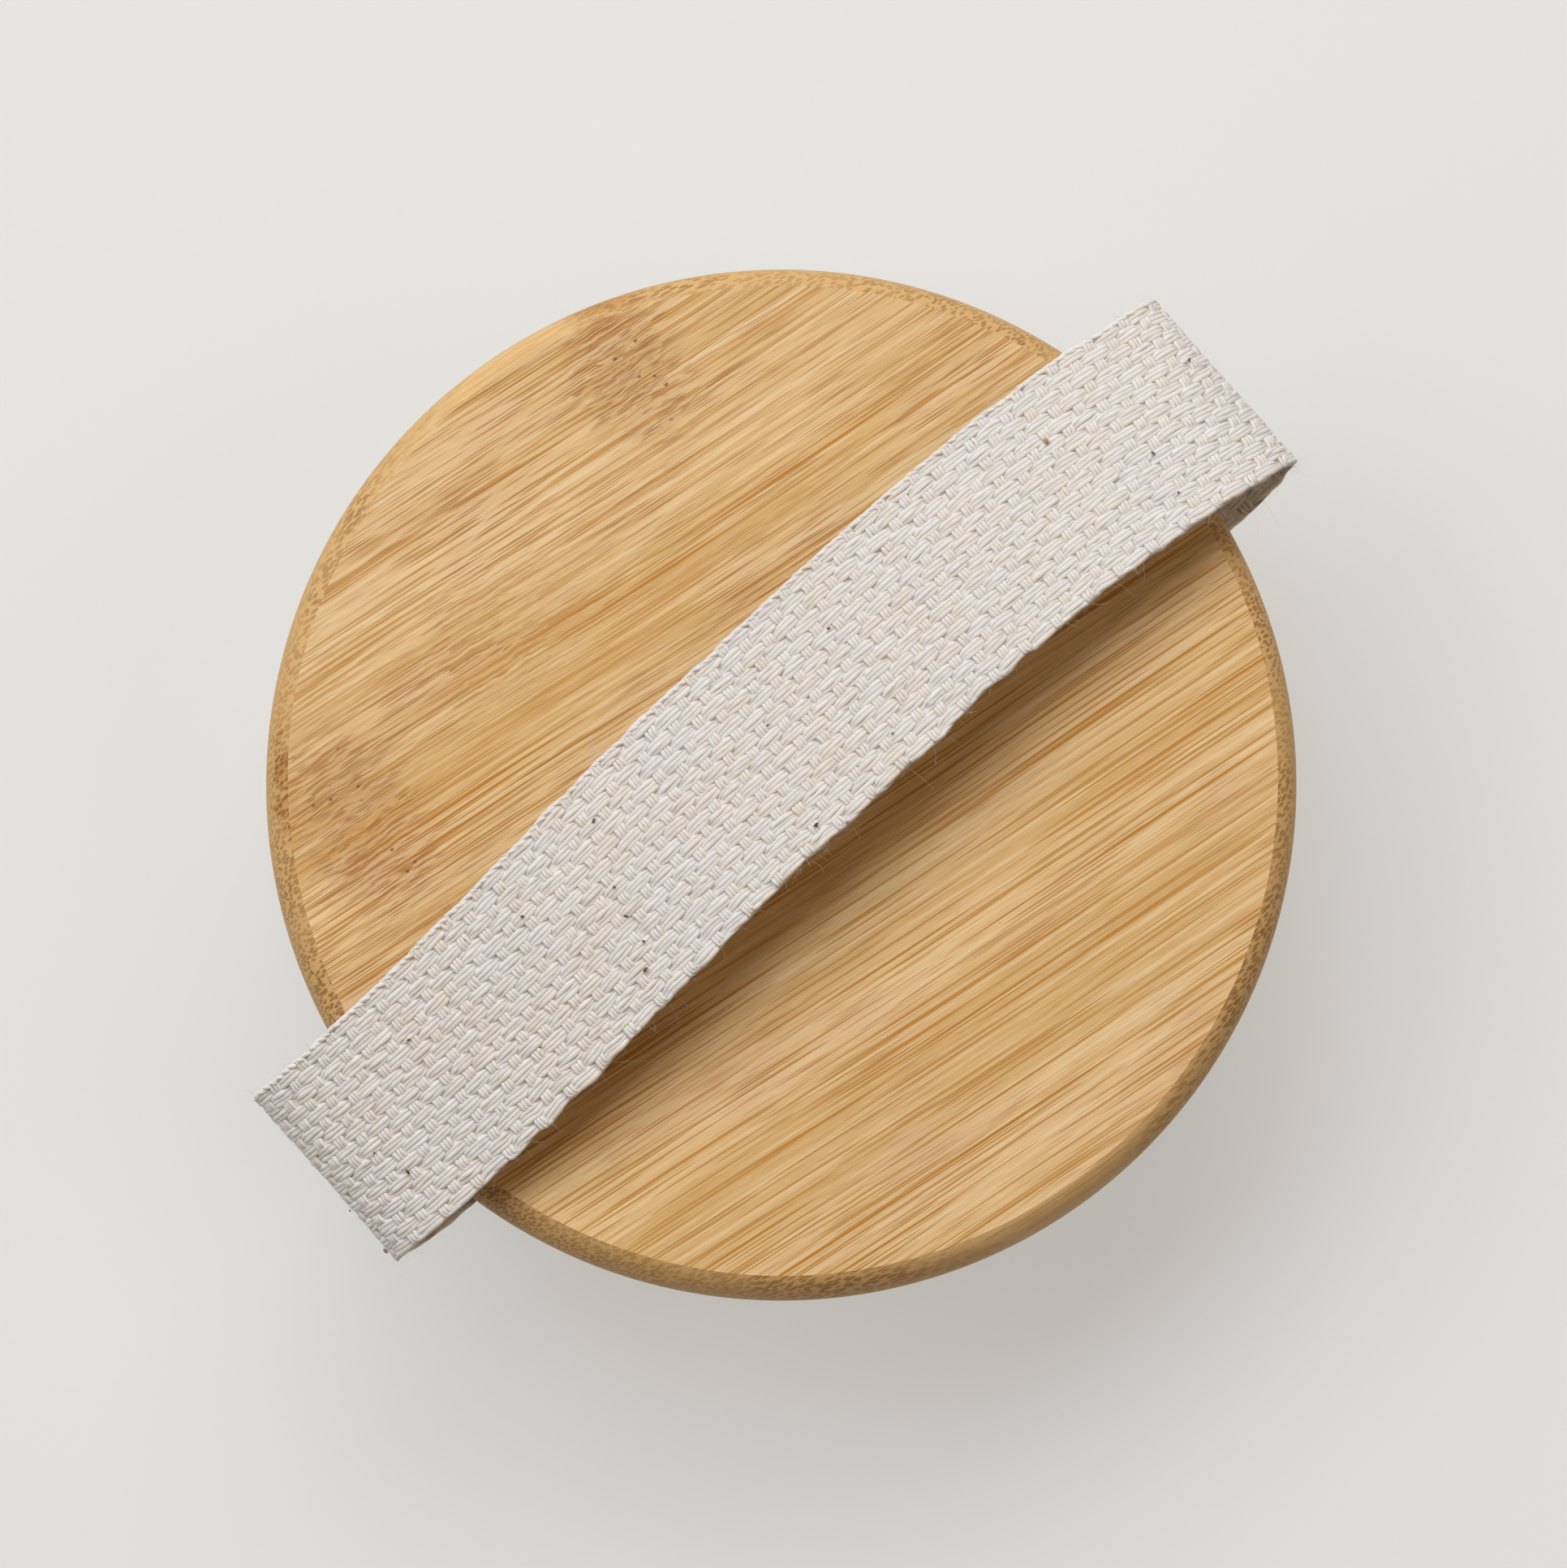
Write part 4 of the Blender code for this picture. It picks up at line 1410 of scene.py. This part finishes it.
@dataclass
class Brads:
    """The four brads that hold the ends of the webbing, with domed heads and ground points."""

    finish: SteelFinish
    sides: int = 32
    dome: float = 0.35 * MM
    shank: float = 0.7 * MM
    point: float = 1.5 * MM
    seat: float = 0.25 * MM
    fillet: float = 0.1 * MM
    dome_steps: int = 5

    def names(self) -> list[str]:
        """The CAD nodes of the brads."""
        return [f"strap_pin_{side.name.lower()}_{end}" for side in Side for end in ("front", "rear")]

    def places(self) -> list[tuple[float, float]]:
        """The middle of each brad."""
        boxes = [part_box(node) for node in self.names()]
        return [((low.x + high.x) / 2, (low.y + high.y) / 2) for low, high in boxes]

    def brad(self, node: str) -> bpy.types.Object:
        """One brad, turned about its own axis and set in place."""
        low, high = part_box(node)
        head = (high.y - low.y) / 2
        rim = low.z + self.dome
        seat = rim + self.seat
        profile = [(0.0, high.z), (self.shank * 0.45, high.z - self.point * 0.45),
                   (self.shank, high.z - self.point), (self.shank, seat + self.fillet),
                   (self.shank + self.fillet, seat), (head * 0.94, seat), (head, seat - 0.06 * MM),
                   (head, rim)]
        for step in range(1, self.dome_steps + 1):
            angle = math.pi / 2 * step / self.dome_steps
            profile.append((head * math.cos(angle), rim - self.dome * math.sin(angle)))
        obj = Bench.turned(node.replace("strap_pin", "brad"), profile, self.sides)
        obj.location = ((low.x + high.x) / 2, (low.y + high.y) / 2, 0.0)
        Bench.settle(obj, 35.0)
        return obj

    def build(self) -> list[bpy.types.Object]:
        """Models and dresses the brads."""
        material = self.finish.material()
        brads = []
        for node in self.names():
            brad = self.brad(node)
            dress(brad, material, Slot.STEEL)
            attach(brad, Body.BACK.value)
            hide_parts(node)
            brads.append(brad)
        return brads


# ---- The studio ----


WARM: Colour = (1.0, 0.76, 0.53)
COOL: Colour = (0.985, 1.0, 1.04)


@dataclass
class Lamp:
    """A round soft box: where it stands, as seen from above, and how strong it is."""

    name: str
    azimuth: float
    elevation: float
    distance: float
    size: float
    power: float
    colour: Colour = (1.0, 1.0, 1.0)


@dataclass
class Studio:
    """The camera straight above, a pale ground, and soft light from the top left of the view."""

    back: BambooBack
    paper: PaperFinish
    strap_angle: float = math.radians(41.55)
    view_width: float = 181.6 * MM
    stand_off: float = 650.0 * MM
    off_centre: tuple[float, float] = (0.28 * MM, 0.19 * MM)
    sensor: float = 36.0
    ground_size: float = 6.0
    ambient: Colour = (1.0, 0.86, 0.7)
    ambient_strength: float = 0.04
    wall: tuple = tone(226, 225, 221)
    lamps: tuple[Lamp, ...] = (
        Lamp("key_light", 122.0, 50.0, 2.0, 1.6, 23.5, COOL),
        Lamp("side_light", 166.0, 46.0, 2.0, 1.2, 9.5, COOL),
        Lamp("back_light", 84.0, 42.0, 2.0, 1.2, 15.5, COOL),
        Lamp("fill_light_right", -5.0, 50.0, 2.0, 1.2, 6.4, WARM),
        Lamp("fill_light_left", -140.0, 50.0, 2.0, 1.0, 2.0, WARM),
    )

    def on_ground(self, right: float, up: float) -> Vector:
        """A direction of the view, turned to the object's own frame."""
        angle = -self.strap_angle
        x = right * math.cos(angle) - up * math.sin(angle)
        y = right * math.sin(angle) + up * math.cos(angle)
        return Vector((x, y, 0.0))

    def camera(self) -> bpy.types.Object:
        """The camera, straight above the disc."""
        data = bpy.data.cameras.new("camera")
        data.sensor_width = self.sensor
        data.lens = self.sensor * self.stand_off / self.view_width
        camera = bpy.data.objects.new("camera", data)
        bpy.context.scene.collection.objects.link(camera)
        place = self.on_ground(*self.off_centre)
        camera.location = (place.x, place.y, self.back.high.z + self.stand_off)
        camera.rotation_euler = (0.0, 0.0, -self.strap_angle)
        bpy.context.scene.camera = camera
        return camera

    def ground(self) -> bpy.types.Object:
        """The ground that the bristle tips rest on."""
        Bench.clear()
        bpy.ops.mesh.primitive_plane_add(size=self.ground_size, location=(0.0, 0.0, 0.0))
        ground = Bench.named("ground")
        ground.data.materials.append(self.paper.material())
        return ground

    def light(self, lamp: Lamp) -> bpy.types.Object:
        """One soft box, aimed at the brush."""
        data = bpy.data.lights.new(lamp.name, "AREA")
        data.shape = "DISK"
        data.size = lamp.size
        data.energy = lamp.power
        data.color = lamp.colour
        light = bpy.data.objects.new(lamp.name, data)
        bpy.context.scene.collection.objects.link(light)
        azimuth, elevation = math.radians(lamp.azimuth), math.radians(lamp.elevation)
        flat = self.on_ground(math.cos(azimuth), math.sin(azimuth)) * math.cos(elevation)
        way = Vector((flat.x, flat.y, math.sin(elevation)))
        light.location = way * lamp.distance
        light.rotation_euler = way.to_track_quat("Z", "Y").to_euler()
        return light

    def surroundings(self) -> None:
        """The even light of the room, a pale wall behind the brush, and plain colours on the screen."""
        world = bpy.data.worlds.new("room")
        world.use_nodes = True
        nodes, links = world.node_tree.nodes, world.node_tree.links
        air = nodes["Background"]
        air.inputs["Color"].default_value = (*self.ambient, 1.0)
        air.inputs["Strength"].default_value = self.ambient_strength
        wall = nodes.new("ShaderNodeBackground")
        wall.inputs["Color"].default_value = self.wall
        seen = nodes.new("ShaderNodeLightPath")
        both = nodes.new("ShaderNodeMixShader")
        links.new(seen.outputs["Is Camera Ray"], both.inputs[0])
        links.new(air.outputs[0], both.inputs[1])
        links.new(wall.outputs[0], both.inputs[2])
        links.new(both.outputs[0], nodes["World Output"].inputs["Surface"])
        bpy.context.scene.world = world
        bpy.context.scene.view_settings.view_transform = "Standard"

    def build(self) -> None:
        """Sets up the camera, the ground and the light."""
        self.camera()
        self.ground()
        for lamp in self.lamps:
            self.light(lamp)
        self.surroundings()


def report(pieces: Sequence[bpy.types.Object]) -> None:
    """Reports each piece's size."""
    for piece in pieces:
        triangles = sum(len(face.vertices) - 2 for face in piece.data.polygons)
        LOG.info("%s: %d triangles", piece.name, triangles)


def main() -> None:
    """Builds the studio and the brush, sub-assembly by sub-assembly."""
    logging.basicConfig(level=logging.INFO, format="%(name)s %(message)s")
    back = BambooBack(BambooFinish())
    Studio(back, PaperFinish()).build()
    bristles = BristleField(FibreFinish())
    brads = Brads(SteelFinish())
    report([back.build(bristles.places(), brads.places())])
    report(Webbing(StrapLine(back), CottonFinish(), HuskFinish()).build())
    report(brads.build())
    report(bristles.build())


if __name__ == "__main__":
    main()
